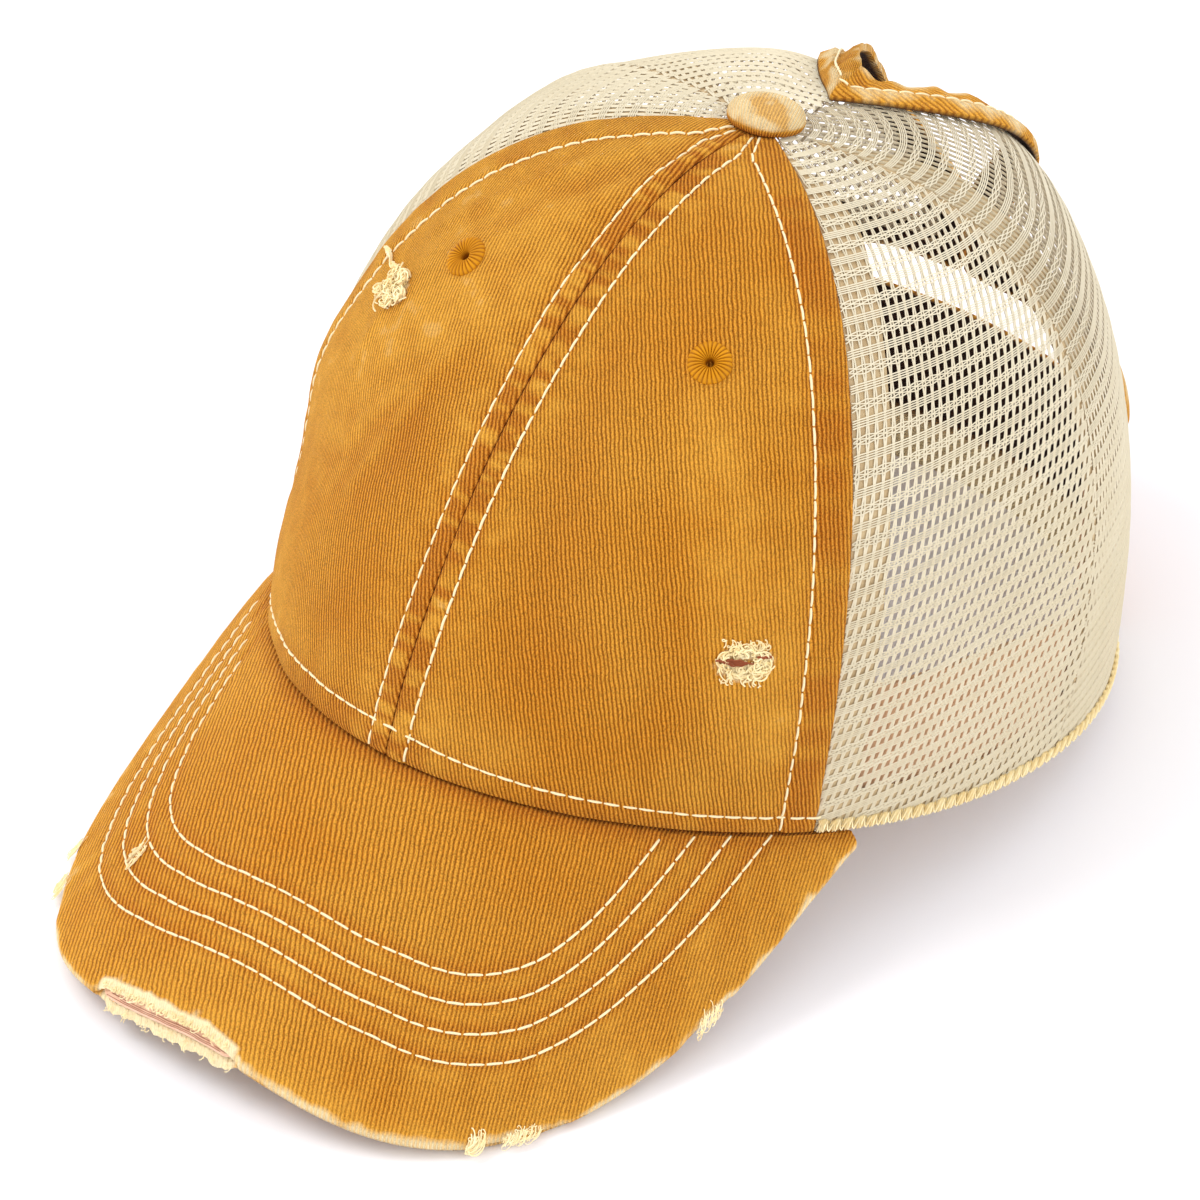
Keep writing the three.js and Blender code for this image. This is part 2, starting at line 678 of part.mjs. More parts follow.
function eyelet() {
  const inside = TWILL_WALL + GAP;
  return turned([
    [EYELET_HOLE, -inside],
    [EYELET_BARREL, -inside],
    [EYELET_BARREL, GAP],
    [EYELET_RADIUS, GAP],
    [EYELET_RADIUS, 0.5 * EYELET_RAISE + GAP],
    [0.75 * EYELET_RADIUS, EYELET_RAISE + GAP],
    [0.4 * EYELET_RADIUS, EYELET_RAISE + GAP],
    [EYELET_HOLE, GAP],
    [EYELET_HOLE, -inside],
  ]);
}

// Materials

const cloth = (color, roughness) => new THREE.MeshStandardMaterial({ color, roughness, metalness: 0 });
const twill = () => cloth(0xc98429, 0.9);
const net = () => cloth(0xeadfc4, 0.85);

const cap = new THREE.Group();

function add(name, geometry, material) {
  const mesh = new THREE.Mesh(geometry, material);
  mesh.name = name;
  cap.add(mesh);
  return mesh;
}

// Holes for the eyelets

const wasm = await Module();
wasm.setup();

function toSolid(geometry) {
  return new wasm.Manifold(new wasm.Mesh({
    numProp: 3,
    vertProperties: new Float32Array(geometry.getAttribute('position').array),
    triVerts: new Uint32Array(geometry.getIndex().array),
  }));
}

function fromSolid(solid) {
  const mesh = solid.getMesh();
  const geometry = new THREE.BufferGeometry();
  geometry.setAttribute('position', new THREE.BufferAttribute(mesh.vertProperties, 3));
  geometry.setIndex(new THREE.BufferAttribute(mesh.triVerts, 1));
  return geometry;
}

const upward = new THREE.Vector3(0, 0, 1);

function eyeletPlace(degrees) {
  const theta = degrees * DEGREE;
  const normal = normalOf(crownPoint, theta, EYELET_RISE, 0, 1);
  const turn = new THREE.Quaternion().setFromUnitVectors(upward, normal);
  return { point: crownPoint(theta, EYELET_RISE), turn };
}

for (const [side, name] of [[1, 'left'], [-1, 'right']]) {
  const place = eyeletPlace(side > 0 ? EYELET_LEFT : -EYELET_RIGHT);
  const radius = EYELET_BARREL + GAP;
  const reach = 3 * TWILL_WALL;
  const drill = turned([[0, -reach], [radius, -reach], [radius, reach], [0, reach]]);
  drill.applyQuaternion(place.turn);
  drill.translate(place.point.x, place.point.y, place.point.z);
  const cut = toSolid(frontPanel(side)).subtract(toSolid(drill));
  add(`front_panel_${name}`, fromSolid(cut), twill());
  add(`side_panel_${name}`, sidePanel(side), net());
  add(`rear_panel_${name}`, rearPanel(side), net());
  const ring = add(`eyelet_${name}`, eyelet(), cloth(0xcf8a12, 0.7));
  ring.position.copy(place.point);
  ring.quaternion.copy(place.turn);
}

const topButton = add('top_button', button(), twill());
topButton.position.set(0, BUTTON_BACK, CROWN_HEIGHT);

add('peak_upper_cloth', peak.upper, twill());
add('peak_board', peak.board, cloth(0xf0dfb8, 0.9));
add('peak_under_cloth', peak.under, twill());
add('sweatband', sweatband(), cloth(0xd9a066, 0.9));
add('opening_binding', openingBinding(), twill());
add('closing_strap', closingStrap(), twill());

// Tip the cap back to its rest, and put the middle of its foot at the origin
cap.rotation.x = -restTilt;
cap.updateMatrixWorld(true);
const box = new THREE.Box3().setFromObject(cap, true);
cap.position.set(-(box.min.x + box.max.x) / 2, -(box.min.y + box.max.y) / 2, -restLevel);

const object = new THREE.Group();
object.add(cap);

export default object;
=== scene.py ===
# Ponytail baseball cap: its cloth, net, stitches and worn places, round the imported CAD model.
# Shapes are worked out in millimetres in the crown's own frame, where the rim lies at z = 0, the
# peak points to -Y and +X is the wearer's left. They are then tipped to the resting frame.

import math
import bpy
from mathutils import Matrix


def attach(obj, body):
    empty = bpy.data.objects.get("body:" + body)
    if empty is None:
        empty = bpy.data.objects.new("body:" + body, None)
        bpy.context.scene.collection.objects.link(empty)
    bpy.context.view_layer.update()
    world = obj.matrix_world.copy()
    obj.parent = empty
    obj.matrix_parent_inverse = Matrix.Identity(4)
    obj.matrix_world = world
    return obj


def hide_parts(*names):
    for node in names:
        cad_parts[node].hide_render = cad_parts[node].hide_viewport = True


bl_info = {
    "name": "Ponytail Baseball Cap",
    "version": (1, 0, 0),
    "blender": (4, 5, 0),
    "location": "View3D > Sidebar > Cap",
    "description": "Dresses a packed cap in washed twill, net, stitches and worn places",
    "category": "Object",
}

import bpy
import numpy as np
from bpy.props import FloatProperty, FloatVectorProperty, PointerProperty
from mathutils import Matrix

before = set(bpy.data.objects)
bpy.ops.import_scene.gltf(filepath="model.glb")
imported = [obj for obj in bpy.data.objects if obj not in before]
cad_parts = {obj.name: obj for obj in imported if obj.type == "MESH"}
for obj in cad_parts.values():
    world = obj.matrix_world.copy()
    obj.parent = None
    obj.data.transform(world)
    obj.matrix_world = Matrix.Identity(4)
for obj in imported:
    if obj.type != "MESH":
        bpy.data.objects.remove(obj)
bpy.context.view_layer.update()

# Crown, as in the CAD model
RIM_HALF_WIDTH = 84
RIM_FRONT = 101
RIM_BACK = 105
RIM_FRONT_LIFT = 9
CROWN_HEIGHT = 118
BUTTON_BACK = 4
RIM_EGG = 0.127
TOP_HOLE = 3
PROFILE = {
    "inward": (0.88, 0.68, 0.37),
    "upward": (1.29, 0.775, 1.49),
    "bulge": (-0.014, 0.042, -0.035),
}
FRONT_SEAM = 62
REAR_SEAM = 102
TWILL_WALL = 1.5
NET_WALL = 1.2
GAP = 0.3

# Soft folds: angle and rise where each begins and ends, width, and height
FOLD_HEIGHT = 2.4
FOLD_CLIMB = 100
FOLD_FADE = 8
FOLDS = (
    (-6, 0.86, -42, 0.52, 5.5, 0.5),
    (-14, 0.6, -58, 0.3, 7, 0.55),
    (-24, 0.34, -66, 0.12, 8, -0.6),
    (14, 0.55, 22, 0.2, 9, -0.4),
    (40, 0.5, 52, 0.15, 7, 0.4),
    (80, 0.55, 84, 0.2, 10, -0.8),
    (102, 0.75, 102, 0.1, 5, 0.35),
    (122, 0.5, 128, 0.15, 9, -0.3),
    (148, 0.6, 148, 0.3, 9, 0.35),
    (-84, 0.5, -80, 0.15, 10, -0.8),
    (-102, 0.75, -102, 0.1, 5, 0.35),
    (-166, 0.74, -164, 0.5, 13, -1.6),
)

# Sweatband
BAND_WALL = 1.5
BAND_HEIGHT = 33

# Peak
PEAK_HALF_WIDTH = 76
PEAK_REACH = 51.5
PEAK_ROOT = 34
PEAK_SQUARENESS = 2.75
PEAK_SLOPE = 0.885
PEAK_DROOP = 53
PEAK_FLATTEN = 0.16
PEAK_CLOTH = 1.1
PEAK_BOARD = 1.4
PEAK_EDGE_ROUND = 2.2
PEAK_END = 86
PEAK_EASE = 8.8
WEAR_DEPTH = 2.4
WEAR_ROUNDNESS = 0.45
WEAR = ((-5, 10, 1), (-34, 5, 0.3), (34, 5, 0.35), (57, 4, 0.3))

# Opening, binding and strap
OPENING_START = 19.5
OPENING_HALF_WIDTH = 25
OPENING_WIDEN = 52
OPENING_POINT = 0.92
OPENING_CLOSE = 0.83
OPENING_LEAN = 3
WAIST_GAP = 0.6
ARCH_HEIGHT = 20.8
ARCH_HALF_WIDTH = 54.5
ARCH_SQUARENESS = 2.4
ARCH_BINDING = 0.93
BINDING_FOOT = 5
BINDING_FACING = 5.5
BINDING_WALL = 1.6
BINDING_ROLL = 0.9
BINDING_SEAT = 0.6
BINDING_CURL_RISE = 5.5
BINDING_CURL_PLACE = -0.2
BINDING_SIDE_RISE = -1
BINDING_GATHER = 0.45
BINDING_GATHERS = 11
STATION_CROWDING = 1.5
HOLE_SHARE = 0.6
WAIST_SHARE = 0.69
STRAP_HEIGHT = 45
STRAP_WALL = 1.8
STRAP_LAP = 5
STRAP_CLEARANCE = 1

# Button and eyelets
BUTTON_RADIUS = 8.2
BUTTON_EDGE = 3.1
BUTTON_HEIGHT = 5.2
BUTTON_FOOT = 0.9
BUTTON_ROUNDNESS = 0.7
EYELET_RADIUS = 4.5
EYELET_HOLE = 0.8
EYELET_RISE = 0.565
EYELET_ANGLES = {1: 37.5, -1: -34.5}

# Resting frame
REST_TILT = math.radians(-11.255845506632342)
REST_SHIFT = np.array((0.01259995, 25.11123873, 19.51422495))
MM = 0.001

STEP = 1e-3


def mix(a, b, share):
    return a + (b - a) * share


def hill(distance, width):
    """A rounded hump of height 1, centred where the distance is 0."""
    return np.exp(-np.square(distance / width))


def ramp(value, low, high):
    """0 below low, 1 above high, and a smooth rise between them."""
    share = np.clip((value - low) / (high - low), 0, 1)
    return share * share * (3 - 2 * share)


def ripple(x, y, seed):
    """Smooth irregular values between -1 and 1, with about one bump for each unit of x and y."""
    size = 64
    lattice = np.random.default_rng(seed).uniform(-1, 1, (size, size))
    x, y = np.broadcast_arrays(x, y)
    i = np.floor(x).astype(int)
    j = np.floor(y).astype(int)
    share_x = ramp(x - i, 0, 1)
    share_y = ramp(y - j, 0, 1)
    near = mix(lattice[i % size, j % size], lattice[(i + 1) % size, j % size], share_x)
    far = mix(lattice[i % size, (j + 1) % size], lattice[(i + 1) % size, (j + 1) % size], share_x)
    return mix(near, far, share_y)


def unit(vectors):
    return vectors / np.maximum(np.linalg.norm(vectors, axis=-1, keepdims=True), 1e-9)


def halve(low, high, passed, rounds=30):
    """Where a test turns true between two values, found by halving. Works on arrays."""
    for _ in range(rounds):
        middle = (low + high) / 2
        beyond = passed(middle)
        high = np.where(beyond, middle, high)
        low = np.where(beyond, low, middle)
    return low


def turn_to_rest(vectors):
    c, s = math.cos(REST_TILT), math.sin(REST_TILT)
    x, y, z = np.moveaxis(vectors, -1, 0)
    return np.stack((x, c * y - s * z, s * y + c * z), -1)


def to_rest(points):
    """Crown-frame millimetres to resting-frame metres, on or above the surface below."""
    turned = turn_to_rest(points) + REST_SHIFT
    turned[..., 2] = np.maximum(turned[..., 2], 0)
    return turned * MM


# Crown surface


def around(theta, key):
    """A value of the crown's profile, blended from the front over the side to the back."""
    front, side, back = PROFILE[key]
    c = np.cos(theta)
    return mix(side, np.where(c >= 0, front, back), c * c)


def rim_point(theta):
    c = np.cos(theta)
    x = RIM_HALF_WIDTH * np.sin(theta) * (1 - RIM_EGG * c)
    y = -np.where(c >= 0, RIM_FRONT, RIM_BACK) * c
    return np.stack((x, y, np.where(c > 0, RIM_FRONT_LIFT * c * c, 0)), -1)


def fold_relief(theta, rise):
    """Height of the soft folds."""
    relief = np.zeros(np.broadcast(theta, rise).shape)
    for angle, begin, to_angle, to_rise, width, height in FOLDS:
        span = to_angle - angle
        climb = (to_rise - begin) * FOLD_CLIMB
        across = np.mod(np.degrees(theta) - angle + 180, 360) - 180
        up = (rise - begin) * FOLD_CLIMB
        along = np.clip((across * span + up * climb) / (span * span + climb * climb), 0, 1)
        away = np.hypot(across - span * along, up - climb * along)
        relief += height * FOLD_HEIGHT * hill(away, width)
    return relief


def smooth_crown(theta, rise):
    """The crown without its folds. Rise is 0 at the rim and 1 at the hole under the button."""
    inward_power = around(theta, "inward")
    upward_power = around(theta, "upward")
    rim = rim_point(theta)
    hole = TOP_HOLE / np.hypot(rim[..., 0], rim[..., 1] - BUTTON_BACK)
    top = np.arctan2((1 - hole ** (2 / inward_power)) ** (upward_power / 2), hole)
    c = np.cos(rise * top)
    s = np.sin(rise * top)

    def outside(reach):
        return (reach * c) ** (2 / inward_power) + (reach * s) ** (2 / upward_power) > 1

    reach = halve(np.zeros(c.shape), np.full(c.shape, 2.0), outside, 36)
    slope = (reach * c) ** (1 / inward_power) * (reach * s) ** (1 / upward_power)
    inward = reach * c * (1 + 2 * around(theta, "bulge") * slope)
    x = rim[..., 0] * inward
    y = mix(BUTTON_BACK, rim[..., 1], inward)
    return np.stack((x, y, mix(rim[..., 2], CROWN_HEIGHT, reach * s)), -1)


def normals_of(points):
    return unit(np.cross(np.gradient(points, axis=1), np.gradient(points, axis=0)))


THETA_STEP = math.radians(0.5)
THETAS = np.arange(-460, 461) * THETA_STEP
RISES = np.linspace(0, 1, 301)

# The furthest angle from the front that a side of the opening can lie at
PAST_BACK = math.radians(198)
NET_PAST_BACK = math.radians(195)


class Crown:
    """The crown's outer surface, tabled by angle from the front and by rise from the rim."""

    def __init__(self):
        theta, rise = np.meshgrid(THETAS, RISES)
        self.smooth = smooth_crown(theta, rise)
        lift = fold_relief(theta, rise) * (1 - rise ** FOLD_FADE)
        self.points = self.smooth + normals_of(self.smooth) * lift[..., None]
        self.normals = normals_of(self.points)
        steps = np.linalg.norm(np.diff(self.points, axis=1), axis=-1)
        lengths = np.concatenate((np.zeros((len(RISES), 1)), np.cumsum(steps, 1)), 1)
        self.widths = lengths - lengths[:, [len(THETAS) // 2]]
        climbs = np.linalg.norm(np.diff(self.points, axis=0), axis=-1)
        self.climbs = np.concatenate((np.zeros((1, len(THETAS))), np.cumsum(climbs, 0)), 0)

    def sample(self, table, theta, rise):
        theta, rise = np.broadcast_arrays(theta, rise)
        x = np.clip((theta - THETAS[0]) / THETA_STEP, 0, len(THETAS) - 1.001)
        y = np.clip(rise * (len(RISES) - 1), 0, len(RISES) - 1.001)
        i = x.astype(int)
        j = y.astype(int)
        share_x = x - i
        share_y = y - j
        if table.ndim == 3:
            share_x = share_x[..., None]
            share_y = share_y[..., None]
        low = mix(table[j, i], table[j, i + 1], share_x)
        high = mix(table[j + 1, i], table[j + 1, i + 1], share_x)
        return mix(low, high, share_y)

    def at(self, theta, rise, out=0.0):
        points = self.sample(self.points, theta, rise)
        return points + self.out(theta, rise) * np.asarray(out)[..., None]

    def out(self, theta, rise):
        return unit(self.sample(self.normals, theta, rise))

    def width(self, theta, rise):
        """Length along the cloth from the middle of the front, at one rise."""
        return self.sample(self.widths, theta, rise)

    def climb(self, theta, rise):
        """Length along the cloth from the rim, at one angle."""
        return self.sample(self.climbs, theta, rise)

    def flat(self, theta, rise):
        """Place in the cloth laid flat, from the middle of the front and the rim."""
        places = np.broadcast_arrays(self.width(theta, rise), self.climb(theta, rise))
        return np.stack(places, -1)

    def beside(self, theta, rise, distance):
        """The angle that lies a distance along the cloth from another."""
        spread = self.width(theta + STEP, rise) - self.width(theta - STEP, rise)
        return theta + distance * 2 * STEP / spread

    def place_on_cloth(self, side, middle, u, v):
        """Angle and rise of a place in a panel's flat pattern, from its middle line and the rim."""
        rise = np.interp(v, self.climb(side * middle, RISES), RISES)
        theta = np.full(np.shape(u), float(middle))
        start = side * self.width(side * middle, rise)
        for _ in range(6):
            spread = self.width(side * theta + STEP, rise) - self.width(side * theta - STEP, rise)
            here = side * self.width(side * theta, rise) - start
            theta = np.clip(theta + (u - here) * 2 * STEP / spread, 0, NET_PAST_BACK)
        return theta, rise

    def rise_at_height(self, theta, height):
        return halve(np.zeros(np.shape(theta)), np.ones(np.shape(theta)),
                     lambda rise: self.at(theta, rise)[..., 2] > height)

    def angle_at_x(self, side, x, rise):
        x, rise = np.broadcast_arrays(np.asarray(x, float), rise)
        return side * halve(np.full(x.shape, math.pi / 2), np.full(x.shape, PAST_BACK),
                            lambda theta: side * self.at(side * theta, rise)[..., 0] < side * x)


crown = Crown()

BACK = len(THETAS) // 2 + int(round(math.pi / THETA_STEP))
BACK_STEPS = np.linalg.norm(np.diff(crown.smooth[::-1, BACK], axis=0), axis=-1)
BACK_LENGTHS = TOP_HOLE + np.concatenate(((0,), np.cumsum(BACK_STEPS)))
BACK_TOTAL = BACK_LENGTHS[-1]


def back_length_at(rise):
    return np.interp(1 - rise, 1 - RISES[::-1], BACK_LENGTHS)


def rise_at_back_length(length):
    return 1 - np.interp(length, BACK_LENGTHS, 1 - RISES[::-1])


def opening_middle(length):
    return OPENING_LEAN * np.sin(np.pi * np.sqrt(np.clip(length / BACK_TOTAL, 0, 1)))


BINDING_END = back_length_at(float(crown.rise_at_height(np.array(math.pi),
                                                        STRAP_HEIGHT + STRAP_CLEARANCE)))


def arch_top(inset):
    return BINDING_END - ARCH_HEIGHT + inset * ARCH_BINDING


WIDEST_LENGTH = OPENING_START + OPENING_WIDEN
WAIST_LENGTH = mix(WIDEST_LENGTH, arch_top(0), OPENING_CLOSE)
WAIST_HALF = BINDING_FOOT + BINDING_FACING + WAIST_GAP / 2


def opening_half(length, inset):
    """Half the opening's width at a length down the back, with its edge drawn in by an inset."""
    share = np.clip((length - OPENING_START - inset) / (OPENING_WIDEN - inset), 0, 1)
    closed = ramp(length, WIDEST_LENGTH, WAIST_LENGTH)
    hole = mix(OPENING_HALF_WIDTH, WAIST_HALF, closed) - inset
    hole = hole * np.sin(np.pi / 2 * share ** OPENING_POINT)
    drop = np.clip((length - arch_top(inset)) / (BINDING_END - arch_top(inset)), 0, 1)
    spread = (1 - (1 - drop) ** ARCH_SQUARENESS) ** (1 / ARCH_SQUARENESS)
    return hole + (ARCH_HALF_WIDTH - WAIST_HALF) * spread


def opening_angle(side, length, inset, least, rise):
    half = np.maximum(least, opening_half(length, inset))
    return crown.angle_at_x(side, opening_middle(length) + side * half, rise)


# Peak surface

PEAK_DEPTH = 2 * PEAK_CLOTH + 2 * GAP + PEAK_BOARD
PEAK_TUCK = TWILL_WALL + GAP + BAND_WALL + GAP
SEAM_DEPTH = PEAK_DEPTH / 2 - GAP / 2
FRONT_HALF = np.linspace(0, np.pi / 2, 2000)
FRONT_RIM = rim_point(FRONT_HALF)
HEADINGS = np.arctan2(FRONT_RIM[:, 0], -FRONT_RIM[:, 1] - PEAK_ROOT)


def peak_height(x, y):
    ahead = -y - RIM_FRONT
    droop = PEAK_DROOP * (x / PEAK_HALF_WIDTH) ** 2 * (1 - PEAK_FLATTEN * ahead / PEAK_REACH)
    return RIM_FRONT_LIFT - PEAK_SLOPE * ahead - droop


def peak_ray(phi):
    """Where a ray over the peak crosses the rim and the edge, and how the peak meets the rim."""
    size = np.abs(phi)
    rim = rim_point(np.interp(size, HEADINGS, FRONT_HALF))
    rim_radius = np.hypot(rim[..., 0], rim[..., 1] + PEAK_ROOT)
    across = np.sin(size) / PEAK_HALF_WIDTH
    along = np.maximum(0, np.cos(size)) / (RIM_FRONT + PEAK_REACH - PEAK_ROOT)
    edge = (across ** PEAK_SQUARENESS + along ** PEAK_SQUARENESS) ** (-1 / PEAK_SQUARENESS)
    rim_z = rim[..., 2] - GAP
    return rim_radius, edge, rim_z, rim_z - peak_height(rim[..., 0], rim[..., 1])


def peak_point(phi, radius):
    rim_radius, edge, rim_z, correction = peak_ray(phi)
    x = radius * np.sin(phi)
    y = -PEAK_ROOT - radius * np.cos(phi)
    share = np.clip((radius - rim_radius) / np.maximum(edge - rim_radius, PEAK_EASE), 0, 1)
    z = np.where(radius <= rim_radius, rim_z, peak_height(x, y) + correction * (1 - share))
    return np.stack((x, y, z), -1)


def peak_out(phi, radius):
    """The direction out of the peak's upper face. Inside the rim it is straight up."""
    rim_radius = peak_ray(phi)[0]
    beyond = np.maximum(radius, rim_radius + 2 * STEP)
    along = peak_point(phi + STEP, beyond) - peak_point(phi - STEP, beyond)
    forward = peak_point(phi, beyond + STEP) - peak_point(phi, beyond - STEP)
    sloped = unit(np.cross(forward, along))
    sloped = np.where(sloped[..., 2:] < 0, -sloped, sloped)
    share = np.clip((radius - rim_radius + PEAK_TUCK) / (2 * PEAK_TUCK), 0, 1)[..., None]
    return unit(mix(np.array((0, 0, 1.0)), sloped, share))


def peak_at(phi, radius, depth):
    return peak_point(phi, radius) - peak_out(phi, radius) * np.asarray(depth)[..., None]


def wear_at(phi):
    """How deep the peak's edge is worn away."""
    depth = np.zeros(np.shape(phi))
    for at, half, share in WEAR:
        away = (np.degrees(phi) - at) / half
        bite = np.maximum(0, 1 - away * away) ** WEAR_ROUNDNESS
        depth = np.maximum(depth, share * WEAR_DEPTH * bite)
    return depth


# Meshes


SIDES = {1: "left", -1: "right"}


def add_object(name, data):
    obj = bpy.data.objects.new(name, data)
    bpy.context.scene.collection.objects.link(obj)
    return obj


def dress(obj, replaced):
    """Puts a piece on the root body and hides the parts of the model that it replaces."""
    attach(obj, "root")
    if replaced:
        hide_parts(*replaced)


def smooth(mesh, crease):
    mesh.shade_smooth()
    mesh.set_sharp_from_angle(angle=math.radians(crease))


def add_attribute(mesh, name, kind, key, values):
    mesh.attributes.new(name, kind, "POINT").data.foreach_set(key, values)


def build(name, points, faces, material, replaced, flat, shades, crease=50):
    """A finished piece from crown-frame points in millimetres. Flat holds its pattern's places."""
    mesh = bpy.data.meshes.new(name)
    mesh.from_pydata(to_rest(points).tolist(), [], faces)
    mesh.materials.append(bpy.data.materials[material])
    corners = np.empty(len(mesh.loops), dtype=int)
    mesh.loops.foreach_get("vertex_index", corners)
    if flat is not None:
        layer = mesh.uv_layers.new(name="cloth")
        layer.data.foreach_set("uv", (flat[corners] * MM).ravel())
    for key, values in shades.items():
        add_attribute(mesh, key, "FLOAT", "value", values)
    smooth(mesh, crease)
    mesh.validate()
    dress(add_object(name, mesh), replaced)


def grid(rows, columns, first, turned):
    """Four-sided faces over a grid of points, facing out where rows rise and columns go left."""
    r, c = np.meshgrid(np.arange(rows - 1), np.arange(columns - 1), indexing="ij")
    a = (first + r * columns + c).ravel()
    quads = np.stack((a, a + 1, a + columns + 1, a + columns), -1)
    return quads[:, ::-1] if turned else quads


def wall(outer, inner, turned):
    """Two grids of points joined at their edges into one closed wall."""
    rows, columns = outer.shape[:2]
    count = rows * columns
    faces = [grid(rows, columns, 0, turned), grid(rows, columns, count, not turned)]
    across = np.arange(columns - 1)
    down = np.arange(rows - 1) * columns
    last = (rows - 1) * columns
    edges = (
        np.stack((across, across + count, across + count + 1, across + 1), -1),
        np.stack((last + across, last + across + 1, last + across + count + 1,
                  last + across + count), -1),
        np.stack((down, down + columns, down + columns + count, down + count), -1),
        np.stack((down + columns - 1, down + columns - 1 + count,
                  down + 2 * columns - 1 + count, down + 2 * columns - 1), -1),
    )
    for edge in edges:
        faces.append(edge[:, ::-1] if turned else edge)
    points = np.concatenate((outer.reshape(-1, 3), inner.reshape(-1, 3)))
    return points, np.concatenate(faces).tolist()


def both_faces(values, size):
    """Values for both faces of a wall, from those of its outer face or from a pair."""
    pair = values if isinstance(values, tuple) else (values, values)
    return np.concatenate([face.reshape(-1, size) for face in pair])


def build_wall(name, outer, inner, turned, material, material_slot, replaced=(), flat=None,
               **shades):
    """A finished wall, with its shades and its places in the flat pattern."""
    points, faces = wall(outer, inner, turned)
    if flat is not None:
        flat = both_faces(flat, 2)
    shades = {key: both_faces(values, 1).ravel() for key, values in shades.items()}
    build(name, points, faces, material, replaced, flat, shades)


def crowded(count):
    """Steps from 0 to 1 that lie closer together near both ends."""
    even = np.linspace(0, 1, count + 1)
    return mix(even, 0.5 - 0.5 * np.cos(np.pi * even), 0.5)


# Node trees


def add_node(tree, kind, inputs=None, **settings):
    """A node with its settings, whose inputs are given by name or number as values or links."""
    node = tree.nodes.new(kind)
    for key, value in settings.items():
        setattr(node, key, value)
    for key, value in (inputs or {}).items():
        if isinstance(value, bpy.types.NodeSocket):
            tree.links.new(value, node.inputs[key])
        else:
            node.inputs[key].default_value = value
    return node


def first_of(tree, kind, inputs=None, **settings):
    """The first output of a new node."""
    return add_node(tree, kind, inputs, **settings).outputs[0]


def maths(tree, operation, *values, clamped=False):
    return first_of(tree, "ShaderNodeMath", dict(enumerate(values)), operation=operation,
                    use_clamp=clamped)


def new_tree(name, kind, inputs, outputs):
    """A node group with named sockets of the given kinds, and its two ends."""
    tree = bpy.data.node_groups.new(name, kind)
    for way, sockets in (("INPUT", inputs), ("OUTPUT", outputs)):
        for key, socket in sockets.items():
            tree.interface.new_socket(name=key, in_out=way, socket_type=f"NodeSocket{socket}")
    return tree, tree.nodes.new("NodeGroupInput").outputs, tree.nodes.new("NodeGroupOutput").inputs


def growing_tree(name, sizes):
    """A geometry node tree that takes paths, some sizes and a material."""
    inputs = {"Geometry": "Geometry", **sizes, "Material": "Material"}
    return new_tree(name, "GeometryNodeTree", inputs, {"Geometry": "Geometry"})


def sweep(tree, curve, sides, thickness, **more):
    """A round thread of some thickness along a curve, closed at its ends."""
    radius = maths(tree, "MULTIPLY", thickness, 0.5)
    profile = first_of(tree, "GeometryNodeCurvePrimitiveCircle",
                       {"Resolution": sides, "Radius": radius})
    return first_of(tree, "GeometryNodeCurveToMesh",
                    {"Curve": curve, "Profile Curve": profile, "Fill Caps": True, **more})


def finish_tree(tree, geometry, given, result):
    real = first_of(tree, "GeometryNodeRealizeInstances", {"Geometry": geometry})
    painted = first_of(tree, "GeometryNodeSetMaterial",
                       {"Geometry": real, "Material": given["Material"]})
    tree.links.new(painted, result["Geometry"])
    return tree


def strand_tree():
    """Threads that follow the edges of a mesh, as thick as its swell attribute says."""
    tree, given, result = growing_tree("Strands", {"Thickness": "Float", "Sides": "Int"})
    swell = first_of(tree, "GeometryNodeInputNamedAttribute", {"Name": "swell"}, data_type="FLOAT")
    paths = first_of(tree, "GeometryNodeMeshToCurve", {"Mesh": given["Geometry"]})
    threads = sweep(tree, paths, given["Sides"], given["Thickness"], Scale=swell)
    return finish_tree(tree, threads, given, result)


# Shares of a stitch's thickness that its ends sink by and that its middle is pulled up by
STITCH_SINK = -0.4
STITCH_BOW = 0.75


def stitch_tree():
    """Separate bowed stitches along paths. The out attribute says which way the cloth faces."""
    tree, given, result = growing_tree("Stitches", {
        "Length": "Float", "Gap": "Float", "Thickness": "Float", "Seed": "Int",
    })
    places = {}
    for place, along, up in (("Start", -0.5, STITCH_SINK), ("Middle", 0.0, STITCH_BOW),
                             ("End", 0.5, STITCH_SINK)):
        places[place] = first_of(tree, "ShaderNodeCombineXYZ", {
            "X": maths(tree, "MULTIPLY", given["Length"], along),
            "Z": maths(tree, "MULTIPLY", given["Thickness"], up),
        })
    arc = first_of(tree, "GeometryNodeCurveQuadraticBezier", {"Resolution": 5, **places})
    stitch = sweep(tree, arc, 6, given["Thickness"])
    paths = first_of(tree, "GeometryNodeMeshToCurve", {"Mesh": given["Geometry"]})
    pitch = maths(tree, "ADD", given["Length"], given["Gap"])
    spots = first_of(tree, "GeometryNodeResampleCurve", {"Curve": paths, "Length": pitch},
                     mode="LENGTH")
    out = first_of(tree, "GeometryNodeInputNamedAttribute", {"Name": "out"},
                   data_type="FLOAT_VECTOR")
    faced = first_of(tree, "FunctionNodeAlignRotationToVector", {"Vector": out}, axis="Z")
    tangent = first_of(tree, "GeometryNodeInputTangent")
    turned = first_of(tree, "FunctionNodeAlignRotationToVector",
                      {"Rotation": faced, "Vector": tangent}, axis="X", pivot_axis="Z")
    uneven = first_of(tree, "FunctionNodeRandomValue",
                      {"Min": (0.93, 0.9, 0.9), "Max": (1.03, 1.1, 1.1), "Seed": given["Seed"]},
                      data_type="FLOAT_VECTOR")
    row = first_of(tree, "GeometryNodeInstanceOnPoints",
                   {"Points": spots, "Instance": stitch, "Rotation": turned, "Scale": uneven})
    return finish_tree(tree, row, given, result)


